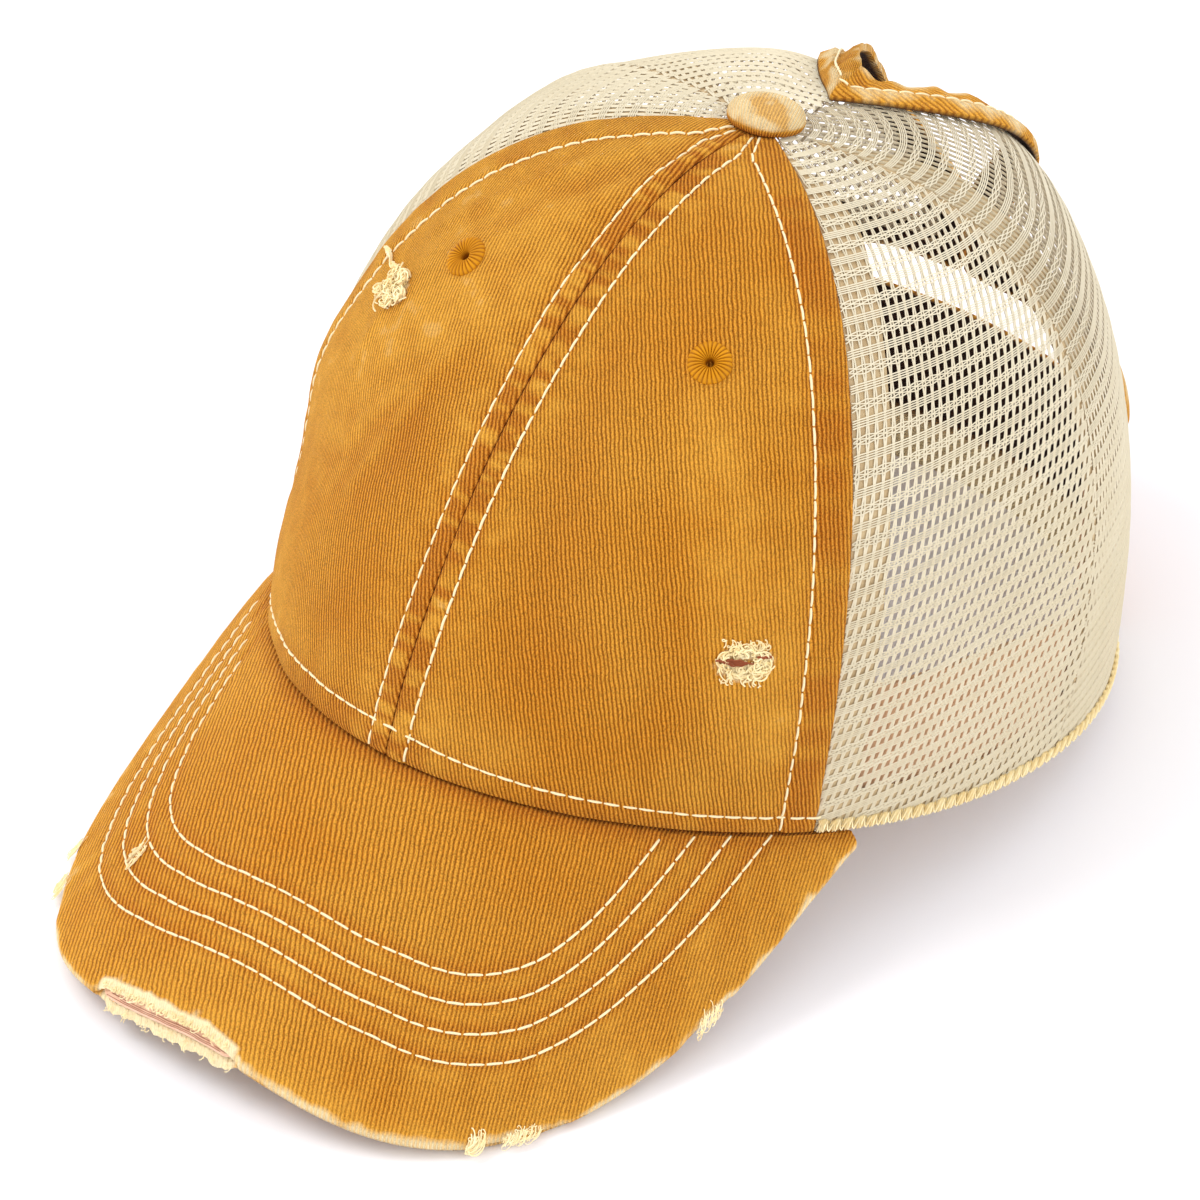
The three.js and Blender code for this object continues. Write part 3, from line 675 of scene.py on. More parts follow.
def grow(name, tree, paths, inputs, material, replaced=()):
    """A piece that a node tree grows from paths. Each path is points, swell and, if any, out."""
    sizes = [len(path[0]) for path in paths]
    edges = []
    for size, end in zip(sizes, np.cumsum(sizes)):
        first = np.arange(end - size, end - 1)
        edges.append(np.stack((first, first + 1), -1))
    mesh = bpy.data.meshes.new(name)
    points = np.concatenate([path[0] for path in paths])
    mesh.from_pydata(to_rest(points).tolist(), np.concatenate(edges).tolist(), [])
    swell = np.repeat([float(path[1]) for path in paths], sizes)
    add_attribute(mesh, "swell", "FLOAT", "value", swell)
    if len(paths[0]) > 2:
        out = turn_to_rest(np.concatenate([path[2] for path in paths]))
        add_attribute(mesh, "out", "FLOAT_VECTOR", "vector", out.ravel())
    obj = add_object(name, mesh)
    modifier = obj.modifiers.new("Grow", "NODES")
    modifier.node_group = tree
    values = {**inputs, "Material": bpy.data.materials[material]}
    for item in tree.interface.items_tree:
        if item.in_out == "INPUT" and item.name in values:
            modifier[item.identifier] = values[item.name]
    grown = bpy.data.meshes.new_from_object(obj.evaluated_get(
        bpy.context.evaluated_depsgraph_get()))
    obj.modifiers.clear()
    obj.data = grown
    grown.name = name
    smooth(grown, 70)
    dress(obj, replaced)


# Colours and settings


def tint(red, green, blue):
    """A screen colour from 0 to 255 as the linear colour that Blender's sockets take."""
    shares = [value / 255 for value in (red, green, blue)]
    return tuple(s / 12.92 if s <= 0.04045 else ((s + 0.055) / 1.055) ** 2.4 for s in shares)


def length_setting(name, description, default):
    return FloatProperty(name=name, description=description, default=default, min=0,
                         unit="LENGTH", precision=5)


def colour_setting(name, description, default):
    return FloatVectorProperty(name=name, description=description, default=default,
                               subtype="COLOR", size=3, min=0, max=1)


class CapTwillSettings(bpy.types.PropertyGroup):
    rib_spacing: length_setting("Rib Spacing", "Distance between the twill's ribs", 0.00085)
    rib_depth: length_setting("Rib Depth", "How deep the lines between the ribs are", 0.0003)
    main_colour: colour_setting("Colour", "Washed colour of the twill", tint(216, 130, 22))
    # The faded colour also gives the painted highlight on rib crests, puckers, creases and fold
    # crests
    faded_colour: colour_setting("Faded Colour", "Worn edges and ridges", tint(243, 178, 68))
    bare_colour: colour_setting("Bare Colour", "Where the dye has worn off", tint(252, 234, 188))
    # Deeper dye, and painted shade in grooves, hollows, fold troughs and beside stitch rows
    deep_colour: colour_setting("Deep Colour", "Folds and stitch rows", tint(188, 84, 2))
    # Painted shade in the lines between the ribs
    line_colour: colour_setting("Line Colour", "Lines between the ribs", tint(136, 72, 2))
    # Painted shade on the binding's inner facing, and the dark fastening tape on the strap's inner
    # face
    inside_colour: colour_setting("Inside Colour", "Dark facing inside the cap", tint(58, 40, 34))


class CapNetSettings(bpy.types.PropertyGroup):
    cell_width: length_setting("Cell Width", "Distance between posts along a row", 0.00205)
    row_spacing: length_setting("Row Spacing", "Distance between rows of holes", 0.0031)
    thread: length_setting("Thread", "Thickness of one thread", 0.00035)
    colour: colour_setting("Colour", "Colour of the net", tint(226, 216, 191))
    lining_colour: colour_setting("Lining Colour", "Strips behind the seams", tint(212, 190, 150))


class CapThreadSettings(bpy.types.PropertyGroup):
    stitch_length: length_setting("Stitch Length", "Length of one stitch", 0.0032)
    stitch_gap: length_setting("Stitch Gap", "Gap between two stitches", 0.00036)
    thickness: length_setting("Thickness", "Thickness of the sewing thread", 0.00054)
    colour: colour_setting("Colour", "Colour of the sewing thread", tint(246, 231, 188))
    eyelet_colour: colour_setting("Eyelet Colour", "Colour of the eyelets", tint(236, 162, 4))


class CapStageSettings(bpy.types.PropertyGroup):
    floor_colour: colour_setting("Floor Colour", "Colour of the floor", tint(251, 250, 255))
    key_power: FloatProperty(name="Key Light", description="Power of the main light",
                             default=11, min=0, unit="POWER")
    fill_power: FloatProperty(name="Fill Light", description="Power of the side light",
                              default=4, min=0, unit="POWER")
    sky: FloatProperty(name="Sky", description="Brightness of the surroundings",
                       default=1.1, min=0)


# Materials


def rib_group():
    """Ribs of a twill weave, from a flat pattern's places. Across points from rib to rib."""
    group, given, result = new_tree("Twill Ribs", "ShaderNodeTree", {
        "Vector": "Vector", "Across": "Vector", "Spacing": "Float",
    }, {"Height": "Float", "Line": "Float"})
    wander = first_of(group, "ShaderNodeTexNoise",
                      {"Vector": given["Vector"], "Scale": 260.0, "Detail": 2.0})
    across = add_node(group, "ShaderNodeVectorMath", {0: given["Vector"], 1: given["Across"]},
                      operation="DOT_PRODUCT").outputs["Value"]
    even = maths(group, "DIVIDE", across, given["Spacing"])
    ribs = maths(group, "MULTIPLY_ADD", wander, 0.8, even)
    wave = maths(group, "SINE", maths(group, "MULTIPLY", ribs, math.tau))
    height = maths(group, "MULTIPLY_ADD", wave, 0.5, 0.5)
    # The lines between the ribs, which the twill paints as shade
    line = first_of(group, "ShaderNodeMapRange",
                    {"Value": height, "From Min": 0.5, "From Max": 0.04},
                    interpolation_type="SMOOTHSTEP")
    group.links.new(height, result["Height"])
    group.links.new(line, result["Line"])
    return group


def patch_group():
    """Uneven shades of washed cloth: large soft patches, small mottling and a fine speckle."""
    group, given, result = new_tree("Washed Patches", "ShaderNodeTree", {
        "Vector": "Vector", "Patch Size": "Float",
    }, {"Patches": "Float", "Mottling": "Float", "Speckle": "Float"})
    for name, factor, detail in (("Patches", 1.0, 2.0), ("Mottling", 5.0, 3.0),
                                 ("Speckle", 120.0, 1.0)):
        noise = first_of(group, "ShaderNodeTexNoise", {
            "Vector": given["Vector"],
            "Scale": maths(group, "DIVIDE", factor, given["Patch Size"]),
            "Detail": detail,
        })
        spread = first_of(group, "ShaderNodeMapRange",
                          {"Value": noise, "From Min": 0.32, "From Max": 0.68})
        group.links.new(spread, result[name])
    return group


# The mix node's sockets for its share, its two colours and the mixed colour
MIX_SHARE = 0
MIX_COLOURS = (6, 7)
MIX_RESULT = 2


def blend_colours(tree, share, first, second, mode="MIX"):
    inputs = {MIX_SHARE: share}
    for place, value in zip(MIX_COLOURS, (first, second)):
        inputs[place] = value if isinstance(value, bpy.types.NodeSocket) else (*value, 1)
    node = add_node(tree, "ShaderNodeMix", inputs, data_type="RGBA", blend_type=mode)
    return node.outputs[MIX_RESULT]


def layered(tree, colour, layers):
    """A colour under layers, each a share from 0 to 1 and its own colour."""
    for share, over in layers:
        colour = blend_colours(tree, share, colour, over)
    return colour


def scaled(tree, value, factor, offset=0.0):
    return maths(tree, "MULTIPLY_ADD", value, factor, offset, clamped=True)


def new_material(name, roughness, sheen=0.0, specular=0.2):
    material = bpy.data.materials.new(name)
    material.use_nodes = True
    shader = material.node_tree.nodes["Principled BSDF"]
    shader.inputs["Roughness"].default_value = roughness
    shader.inputs["Sheen Weight"].default_value = sheen
    shader.inputs["Specular IOR Level"].default_value = specular
    return material, material.node_tree, shader


def bump_into(tree, shader, height, distance):
    bump = first_of(tree, "ShaderNodeBump", {"Height": height, "Distance": distance})
    tree.links.new(bump, shader.inputs["Normal"])


def attribute(tree, name):
    return add_node(tree, "ShaderNodeAttribute", attribute_name=name).outputs["Fac"]


def patches_in(tree, group, size):
    """The shades of washed cloth at a place in the piece."""
    place = add_node(tree, "ShaderNodeTexCoord").outputs["Object"]
    return add_node(tree, "ShaderNodeGroup", {"Vector": place, "Patch Size": size},
                    node_tree=group).outputs


TWILL_PATCH_SIZE = 0.034
# Share of the painted shade in the lines between the ribs
LINE_SHARE = 0.84


def twill(name, across_angle, spread, groups, settings):
    """Washed twill. Across angle turns the ribs on the flat pattern, and spread widens them."""
    _, tree, shader = new_material(name, 0.9, 0.02, 0.1)
    ribs = add_node(tree, "ShaderNodeGroup", {
        "Vector": first_of(tree, "ShaderNodeUVMap", uv_map="cloth"),
        "Across": (math.cos(across_angle), math.sin(across_angle), 0.0),
        "Spacing": settings.rib_spacing * spread,
    }, node_tree=groups["ribs"]).outputs
    patches = patches_in(tree, groups["patches"], TWILL_PATCH_SIZE)
    patchy = maths(tree, "MULTIPLY_ADD", patches["Mottling"], 0.7, 0.5)
    worn = maths(tree, "MULTIPLY", patchy, attribute(tree, "fade"))
    bare = attribute(tree, "bare")
    shown = LINE_SHARE / math.sqrt(max(spread, 1))
    line = maths(tree, "MULTIPLY", ribs["Line"], scaled(tree, worn, -0.5 * shown, shown))
    colours = {key: tuple(getattr(settings, f"{key}_colour"))
               for key in ("main", "faded", "bare", "deep", "line", "inside")}
    colour = layered(tree, colours["main"], (
        (scaled(tree, patches["Patches"], 0.6, -0.05), colours["faded"]),
        # Deeper dye, with painted shade in grooves, hollows and fold troughs
        (scaled(tree, attribute(tree, "deep"), 0.75), colours["deep"]),
        # Wear, with painted highlight on puckers, creases, fold crests and gathers
        (scaled(tree, worn, 1.0), colours["faded"]),
        (scaled(tree, worn, 1.6, -1.2), colours["bare"]),
        # Painted highlight on the rib crests
        (scaled(tree, ribs["Height"], 0.5), colours["faded"]),
        # Painted shade in the lines between the ribs
        (line, colours["line"]),
        (scaled(tree, bare, 1.0), colours["bare"]),
    ))
    grainy = maths(tree, "MULTIPLY", scaled(tree, bare, -0.8, 1.0), scaled(tree, worn, -0.45, 1.0))
    grain = scaled(tree, patches["Speckle"], 0.66, 0.53)
    colour = blend_colours(tree, grainy, colour, grain, "MULTIPLY")
    # Painted shade on the binding's inner face, and the strap's dark fastening tape
    colour = blend_colours(tree, scaled(tree, attribute(tree, "inside"), 1.0), colour,
                           colours["inside"])
    tree.links.new(colour, shader.inputs["Base Color"])
    height = maths(tree, "MULTIPLY_ADD", patches["Speckle"], 0.35, ribs["Height"])
    bump_into(tree, shader, height, settings.rib_depth)


def plain_cloth(name, colour, shade, group, patch_size, roughness=0.8, depth=0.0, shaded_grooves=False):
    """Cloth or thread of one colour, with its uneven shades and a fine grain."""
    _, tree, shader = new_material(name, roughness, 0.0 if shaded_grooves else 0.1)
    patches = patches_in(tree, group, patch_size)
    layers = [(scaled(tree, patches["Patches"], 0.35), shade),
              (scaled(tree, patches["Mottling"], 0.3), shade)]
    # Painted shade in the grooves that the deep attribute marks
    if shaded_grooves:
        layers.append((scaled(tree, attribute(tree, "deep"), 0.9), shade))
    tree.links.new(layered(tree, tuple(colour), layers), shader.inputs["Base Color"])
    if depth:
        bump_into(tree, shader, patches["Mottling"], depth)


# Degrees that the ribs are turned by, and how far they are spread
RIBS = {
    "Twill Front Left": (16.5, 1.0),
    "Twill Front Right": (30, 1.0),
    "Twill Peak": (25, 1.27),
    "Twill Binding": (62, 1.0),
    "Twill Button": (24, 0.9),
}


def make_materials(scene):
    groups = {"ribs": rib_group(), "patches": patch_group()}
    for name, (degrees, spread) in RIBS.items():
        twill(name, math.radians(degrees), spread, groups, scene.cap_twill)
    net = scene.cap_net
    thread = scene.cap_thread
    for name, colour, shade, patch_size, more in (
        ("Net", net.colour, (216, 203, 173), 0.03, {"roughness": 0.6}),
        ("Net Lining", net.lining_colour, (160, 128, 90), 0.02, {}),
        ("Sweatband", tint(232, 196, 160), (212, 164, 124), 0.02, {"depth": 0.0002}),
        ("Board", tint(250, 214, 186), (228, 158, 128), 0.005, {"depth": 0.0002}),
        ("Thread", thread.colour, (240, 222, 176), 0.006, {"roughness": 0.6}),
        ("Loose Thread", tint(254, 242, 200), (240, 204, 122), 0.004, {}),
        # Dark reddish brown: painted shade in the worn slit, and the thin dark lines at the torn
        # board's edge
        ("Slit", tint(158, 84, 52), (104, 50, 32), 0.002, {}),
        ("Embroidery", thread.eyelet_colour, (140, 76, 0), 0.02, {"roughness": 0.6, "shaded_grooves": True}),
    ):
        plain_cloth(name, colour, tint(*shade), groups["patches"], patch_size, **more)


# Front panels

FRONT_COLUMNS = 84
FRONT_ROWS = 150
CENTRE_ROW = 4.5
NET_ROW = 8
HEM_STRIP = 8

# Height of the stitch row over the rim, by degrees from the middle seam, on each panel
RIM_ROW_ANGLES = (0, 12, 25, 62)
RIM_ROWS = {1: (6.2, 5.0, 4.2, 3.4), -1: (6.2, 5.8, 5.5, 5.0)}


def rim_row(side, theta):
    return np.interp(np.abs(np.degrees(theta)), RIM_ROW_ANGLES, RIM_ROWS[side])


# The panel's width below which its stitch rows draw together towards the button
ROWS_CLOSE = 15

# Narrow creases of the right panel: angles and heights of their points
CREASES = (
    ((-50.5, 91.9), (-43, 104.3), (-37, 114.3)),
    ((-29, 89.1), (-25, 98.1)),
    ((-42, 67.4), (-44.5, 81.1)),
    ((-36, 54.6), (-22, 77.9), (-20, 89.8)),
    ((-28, 49.3), (-23.5, 72.4)),
)
CREASE_WIDTH = 2.0

CREASE_HEIGHT = 0.5
# How much lighter the creases are, partly worn and partly painted highlight
CREASE_WEAR_AND_HIGHLIGHT = 0.4

# The most that a panel is faded, and its middle seam, where some of the dye is gone
PANEL_FADE = 0.7
SEAM_FADE = 1.3

# What the seams and rows of stitches do to the cloth. Each line names what it is beside, and its
# distance from there in millimetres. First the grooves, with their depth and width
GROOVES = (
    ("middle", 0, 0.5, 0.55), ("middle", CENTRE_ROW, 0.35, 0.7), ("net", NET_ROW, 0.4, 0.8),
    ("row", 0, 0.4, 0.8),
)

# The puckers, with their height and width
PUCKERS = (("middle", 3.2, 0.26, 2.4), ("net", 4, 0.2, 5.5), ("rim", 5, 0.18, 6))

# The faded lines, worn and with painted highlight on pucker crests, with how faded and wide they
# are, and the share that flat cloth has of it
FADED_LINES = (("middle", 8, 0.35, 3.5, 0.5), ("net", 12, 0.3, 5, 0.6), ("row", 5, 0.25, 6, 0.6))

# The deeper lines, painted shade in the grooves of the seams and stitch rows, with how deep and
# wide they are
DEEP_LINES = (
    ("middle", 0, 1.4, 0.45), ("middle", CENTRE_ROW + 0.5, 0.5, 1.0), ("net", NET_ROW, 0.45, 1.4),
    ("row", 0, 0.5, 1.4),
)

# How much painted shade the hollows of each sewn band get, and the pucker heights at which it
# starts and ends
HOLLOWS = (("middle", 1.4, 0.45, -0.3), ("net", 0.9, 0.7, -0.4), ("row", 0.6, 0.8, -0.4))

# How far the doubled cloth of a sewn band stands up
BAND_STEP = 0.35


def row_share(side, rise):
    """How much of its distance from the seam a stitch row keeps, below 1 near the button."""
    edge = side * crown.width(side * math.radians(FRONT_SEAM), rise)
    return np.clip(edge / ROWS_CLOSE, 0.25, 1)


def front_distances(side, theta, rise):
    """How far a place is from the middle seam, from the net and from the rim, along the cloth."""
    here = side * crown.width(theta, rise)
    edge = side * crown.width(side * math.radians(FRONT_SEAM), rise)
    share = row_share(side, rise)
    return here / share, (edge - here) / share, crown.climb(theta, rise)


def crease_at(theta, rise):
    """1 along the narrow creases, and less over a few millimetres beside them."""
    here = crown.flat(theta, rise)
    shown = np.zeros(here.shape[:-1])
    for places in CREASES:
        ends = []
        for degrees, height in places:
            angle = np.array(math.radians(degrees))
            ends.append(crown.flat(angle, crown.rise_at_height(angle, height)))
        for begin, end in zip(ends, ends[1:]):
            way = end - begin
            along = np.clip((here - begin) @ way / (way @ way), 0, 1)[..., None]
            away = np.linalg.norm(here - begin - along * way, axis=-1)
            shown = np.maximum(shown, hill(away, CREASE_WIDTH))
    return shown


def front_relief(side, theta, rise):
    """Height of a front panel's cloth over the smooth crown, with how faded and deep it is. The
    fade is partly wear and partly painted highlight, and the deep colour is painted shade.
    """
    centre, net, climb = front_distances(side, theta, rise)
    row = climb - rim_row(side, theta)
    beside = {"middle": centre, "net": net, "rim": climb, "row": row}
    middle_pucker = ripple(climb / 1.9, 0.5 + centre / 5, 11 + side)
    middle_pucker += 0.5 * ripple(climb / 1.1, 3.5 + centre / 3, 12 + side)
    net_pucker = ripple(climb / 3.8, 1.5 + net / 16, 13 + side)
    rim_pucker = ripple(crown.width(theta, rise) / 3.8, 0.5 + climb / 16, 17)
    pucker = {"middle": middle_pucker, "net": net_pucker, "rim": rim_pucker, "row": rim_pucker}
    band = {
        "middle": ramp(centre, CENTRE_ROW + 0.3, CENTRE_ROW - 0.7),
        "net": ramp(net, NET_ROW + 0.5, NET_ROW - 1.0),
        "row": ramp(row, 0, -1.5),
    }
    net_band = ramp(net, 0, 1.2) * ramp(net, NET_ROW + 0.6, NET_ROW - 1.5)
    height = BAND_STEP * (band["middle"] + net_band)
    for key, place, depth, width in GROOVES:
        height -= depth * hill(beside[key] - place, width)
    for key, place, size, width in PUCKERS:
        height += size * pucker[key] * hill(beside[key] - place, width)
    height += 0.16 * ripple(centre / 13, climb / 17, 19 + side) - 0.5 * ramp(climb, 1.5, 0)
    # The middle band is lighter on its pucker crests, partly worn and partly painted highlight
    fade = 0.66 * ramp(middle_pucker, -0.1, 0.8) * band["middle"] + 0.3 * hill(net - 0.8, 1.0)
    for key, place, share, width, least in FADED_LINES:
        fade += share * hill(beside[key] - place, width) * (least + pucker[key])
    deep = np.zeros(fade.shape)
    for key, place, share, width in DEEP_LINES:
        deep += share * hill(beside[key] - place, width)
    for key, share, start, end in HOLLOWS:
        deep += share * band[key] * ramp(pucker[key], start, end)
    if side < 0:
        # The creases stand up and are lighter, partly worn and partly painted highlight, and the
        # panel grows paler towards its outer side
        crease = crease_at(theta, rise)
        height += CREASE_HEIGHT * crease
        fade += CREASE_WEAR_AND_HIGHLIGHT * crease + 0.6 * ramp(-np.degrees(theta), 20, 42)
    # Fold crests are lighter, partly worn and partly painted highlight, and fold troughs are darker
    # with painted shade
    crest = fold_relief(theta, rise) / FOLD_HEIGHT
    past_band = ramp(centre, CENTRE_ROW, 12)
    fade += 0.55 * ramp(crest, 0.05, 0.45) * past_band
    deep += 0.4 * ramp(crest, -0.05, -0.5) * past_band
    eyelet = math.radians(EYELET_ANGLES[side])
    away = np.hypot(crown.width(theta, rise) - crown.width(eyelet, rise),
                    climb - crown.climb(eyelet, EYELET_RISE))
    height -= 2.2 * hill(away, 1.3)
    height += 0.25 * hill(away - EYELET_RADIUS, 1.5)
    open_cloth = ramp(rise, 1.0, 0.93)
    most = mix(PANEL_FADE, SEAM_FADE, band["middle"])
    return height * open_cloth, np.clip(fade, 0, most), np.clip(deep, 0, 1)


# Worn places of each panel: angle and height of the middle, half width and half height
FRAYS = {
    1: ((49.2, 42.0, 6.2, 3.9),),
    -1: ((-45.5, 82.0, 0, 0), (-47.6, 80.6, 3.0, 2.4), (-42.8, 82.5, 2.8, 2.6)),
}

# The slit in the round worn place: its middle across and up, half width and half height
SLIT = (-2.2, 0.3, 4.2, 0.75)


def front_bareness(side, theta, rise):
    """Where a worn place has lost its ribs, and the slit in the round one."""
    bare = np.zeros(theta.shape)
    slit = np.zeros(theta.shape)
    for degrees, height, half_width, half_height in FRAYS[side]:
        middle = np.array(math.radians(degrees))
        away = crown.flat(theta, rise) - crown.flat(middle, crown.rise_at_height(middle, height))
        across, up = np.moveaxis(away, -1, 0)
        if half_width:
            bare += ramp(np.hypot(across / half_width, up / half_height), 1.0, 0.75)
        if side > 0:
            slit += ramp(np.hypot((across - SLIT[0]) / SLIT[2], (up - SLIT[1]) / SLIT[3]), 1.5, 0.9)
    return np.clip(bare, 0, 1) * (1 - np.clip(slit, 0, 1))


def front_cloth(side):
    rise = np.linspace(0, 1, FRONT_ROWS + 1)[:, None]
    start = crown.beside(0.0, rise, side * GAP / 2)
    end = crown.beside(side * math.radians(FRONT_SEAM), rise, -side * GAP / 2)
    theta = mix(start, end, crowded(FRONT_COLUMNS)[None, :])
    rise = np.broadcast_to(rise, theta.shape)
    height, fade, deep = front_relief(side, theta, rise)
    middle = side * math.radians(FRONT_SEAM / 2)
    flat = np.stack((crown.width(theta, rise) - crown.width(middle, rise),
                     crown.climb(middle, rise)), -1)
    inner = np.minimum(height, 0) * 0.5 - TWILL_WALL
    name = SIDES[side]
    build_wall(f"front_cloth_{name}", crown.at(theta, rise, height), crown.at(theta, rise, inner),
               side < 0, f"Twill Front {name.title()}", "twill", (f"front_panel_{name}",), flat,
               fade=fade, deep=deep, bare=front_bareness(side, theta, rise))


# Net panels


def net_bounds(side, kind):
    """Angles from the front at which a net panel starts and ends, for each tabled rise."""
    seam = math.radians(FRONT_SEAM if kind == "side" else REAR_SEAM)
    start = side * crown.beside(side * seam, RISES, side * GAP / 2)
    if kind == "side":
        end = side * crown.beside(side * math.radians(REAR_SEAM), RISES, -side * GAP / 2)
    else:
        end = side * opening_angle(side, back_length_at(RISES), BINDING_FOOT, GAP / 2, RISES)
    return start, end


# The furthest, in radians, that a point beside a panel is drawn in to its edge
MOST_MOVE = 0.03


def clipped_runs(theta, rise, start, end, fewest=2):
    """Paths cut to a panel. A point just outside is drawn in to the panel's edge."""
    low = np.interp(rise, RISES, start)
    high = np.interp(rise, RISES, end)
    inside = (theta >= low) & (theta <= high) & (rise > 0) & (rise < 1)
    beside = np.zeros(inside.shape, bool)
    beside[:, 1:] |= inside[:, :-1]
    beside[:, :-1] |= inside[:, 1:]
    moved = np.clip(theta, low, high)
    kept = inside | (beside & (np.abs(moved - theta) < MOST_MOVE))
    theta = moved
    rise = np.clip(rise, 0, 1)
    runs = []
    for row in range(len(theta)):
        marks = np.flatnonzero(np.diff(np.concatenate(((0,), kept[row].astype(int), (0,)))))
        for first, last in zip(marks[::2], marks[1::2]):
            if last - first >= fewest:
                runs.append((theta[row, first:last], rise[row, first:last]))
    return runs


# Angle of each panel's middle line, slopes of its rows in degrees, half width and height
NET_PANELS = {
    "side": {"middle": 82, "slopes": (16, 14, 5, -2), "reach": 62, "top": 176},
    "rear": {"middle": 138, "slopes": (12, 10, 3, -2), "reach": 84, "top": 190},
}
NET_SLOPE_HEIGHTS = (0, 60, 115, 176)

# How far the posts lean for each millimetre up, and the height at which they keep their place
NET_LEAN = 0.28
NET_LEAN_MIDDLE = 60

# Threads of a row: how far each is from the row's middle, and which way it goes in a zigzag
NET_ROW_THREADS = ((-0.66, 1), (-0.22, -1), (0.22, 1), (0.66, -1))
NET_ZIGZAG = 0.17

# Height over the crown, share of the thread's thickness, and fewest points of a piece of thread
NET_PLAIN = (-0.3, 0.9, 2)
NET_CROOKED = (-0.36, 0.9, 2)
NET_POST = (-0.5, 1.3, 4)

# Shares of the way up a post, and how far its two threads are apart in a bell and in a neck
NET_POST_STEPS = np.array((0.0, 0.34, 0.67, 1.0))
NET_BELL = 0.12 + 0.32 * NET_POST_STEPS ** 2
NET_NECK = 0.34 - 0.22 * NET_POST_STEPS
NET_POST_SHIFT = 0.1


def net_paths(side, kind, settings):
    shape = NET_PANELS[kind]
    start, end = net_bounds(side, kind)
    middle = math.radians(shape["middle"])
    slopes = np.tan(np.radians(shape["slopes"]))
    pitch = settings.cell_width / MM
    spacing = settings.row_spacing / MM
    thread = settings.thread / MM
    columns_each_way = int((shape["reach"] * 1.4 + NET_LEAN * shape["top"]) / pitch)
    columns = np.arange(-columns_each_way, columns_each_way)
    rows = np.arange(-int(shape["reach"] / spacing / 2), int(shape["top"] * 1.15 / spacing))

    def on_crown(p, q):
        p = p + NET_LEAN * (q - NET_LEAN_MIDDLE)
        v = q + p * np.interp(q, NET_SLOPE_HEIGHTS, slopes)
        outside = (v < -spacing) | (np.abs(p) > shape["reach"] + 2 * pitch)
        theta, rise = crown.place_on_cloth(side, middle, p, v)
        rise = np.where(v < 0, -1, rise)
        return np.where(outside, -9, theta), rise

    paths = []

    def lay(p, q, out, swell, fewest):
        theta, rise = on_crown(p, q)
        for run_theta, run_rise in clipped_runs(theta, rise, start, end, fewest):
            paths.append((crown.at(side * run_theta, run_rise, out), swell))

    p, q = np.meshgrid(columns * pitch, rows * spacing)
    zigzag = np.where(columns % 2 == 0, 1, -1)[None, :]
    plain = rows % 2 == 0
    for offset, way in NET_ROW_THREADS:
        lay(p[plain], q[plain] + offset, *NET_PLAIN)
        lay(p[~plain], q[~plain] + offset + NET_ZIGZAG * way * zigzag, *NET_CROOKED)
    centre_p = p.ravel()[:, None]
    base_q = q.ravel()[:, None] + spacing * NET_POST_STEPS
    bell = np.broadcast_to(plain[:, None], p.shape).ravel()[:, None]
    for way in (-1, 1):
        spread = np.where(bell, NET_BELL, NET_NECK)
        lay(centre_p + way * spread + NET_POST_SHIFT, base_q, *NET_POST)
    return paths


def net_panel(side, kind, tree, settings):
    grow(f"net_{kind}_{SIDES[side]}", tree, net_paths(side, kind, settings),
         {"Thickness": settings.thread, "Sides": 3}, "Net", (f"{kind}_panel_{SIDES[side]}",))


STRIP_WIDTHS = {"front": 8.5, "side": 2.6, "rear": 13}
STRIP_DEPTH = 0.78
STRIP_WALL = 0.35
HEM_END = 140


def seam_strip(name, theta_of, rises, columns=9):
    """A plain doubled strip behind the net. Theta of takes shares across the strip and rises."""
    share = np.linspace(0, 1, columns)
    theta = theta_of(share[None, :], rises[:, None])
    rise = np.broadcast_to(rises[:, None], theta.shape)
    ease = 0.08 * ripple(rise * 40, theta * 9, 23)
    build_wall(name, crown.at(theta, rise, ease - STRIP_DEPTH),
               crown.at(theta, rise, ease - STRIP_DEPTH - STRIP_WALL),
               theta[0, -1] < theta[0, 0], "Net Lining", "net")


def net_strips(side):
    rises = np.linspace(0, 0.94, 120)
    front = side * math.radians(FRONT_SEAM)
    rear = side * math.radians(REAR_SEAM)

    def beside(seam, way, width):
        def theta_of(share, rise):
            narrowed = width * ramp(rise, 0.98, 0.72)
            return crown.beside(seam, rise, side * way * (GAP / 2 + narrowed * share))

        return theta_of

    def along_hem(share, rise):
        start = crown.beside(front, rise, side * GAP)
        return mix(start, side * math.radians(HEM_END), share + 0 * rise)

    hem = np.linspace(0, HEM_STRIP / float(crown.climb(front, 1.0)), 12)
    seam_strip(f"seam_strip_hem_{SIDES[side]}", along_hem, hem, 160)
    for key, seam, way in (("front", front, 1), ("side", rear, -1), ("rear", rear, 1)):
        seam_strip(f"seam_strip_{key}_{SIDES[side]}", beside(seam, way, STRIP_WIDTHS[key]), rises)


HEM_PITCH = 1.5
HEM_REACH = 2.4

# Height over the crown of each hem thread, and how high it is at the four points of a turn
HEM_THREADS = ((0.15, (0, 1, 0, 1)), (0.3, (1, 0, 1, 0.3)), (0.45, (0.5, 1, 0.2, 0)))


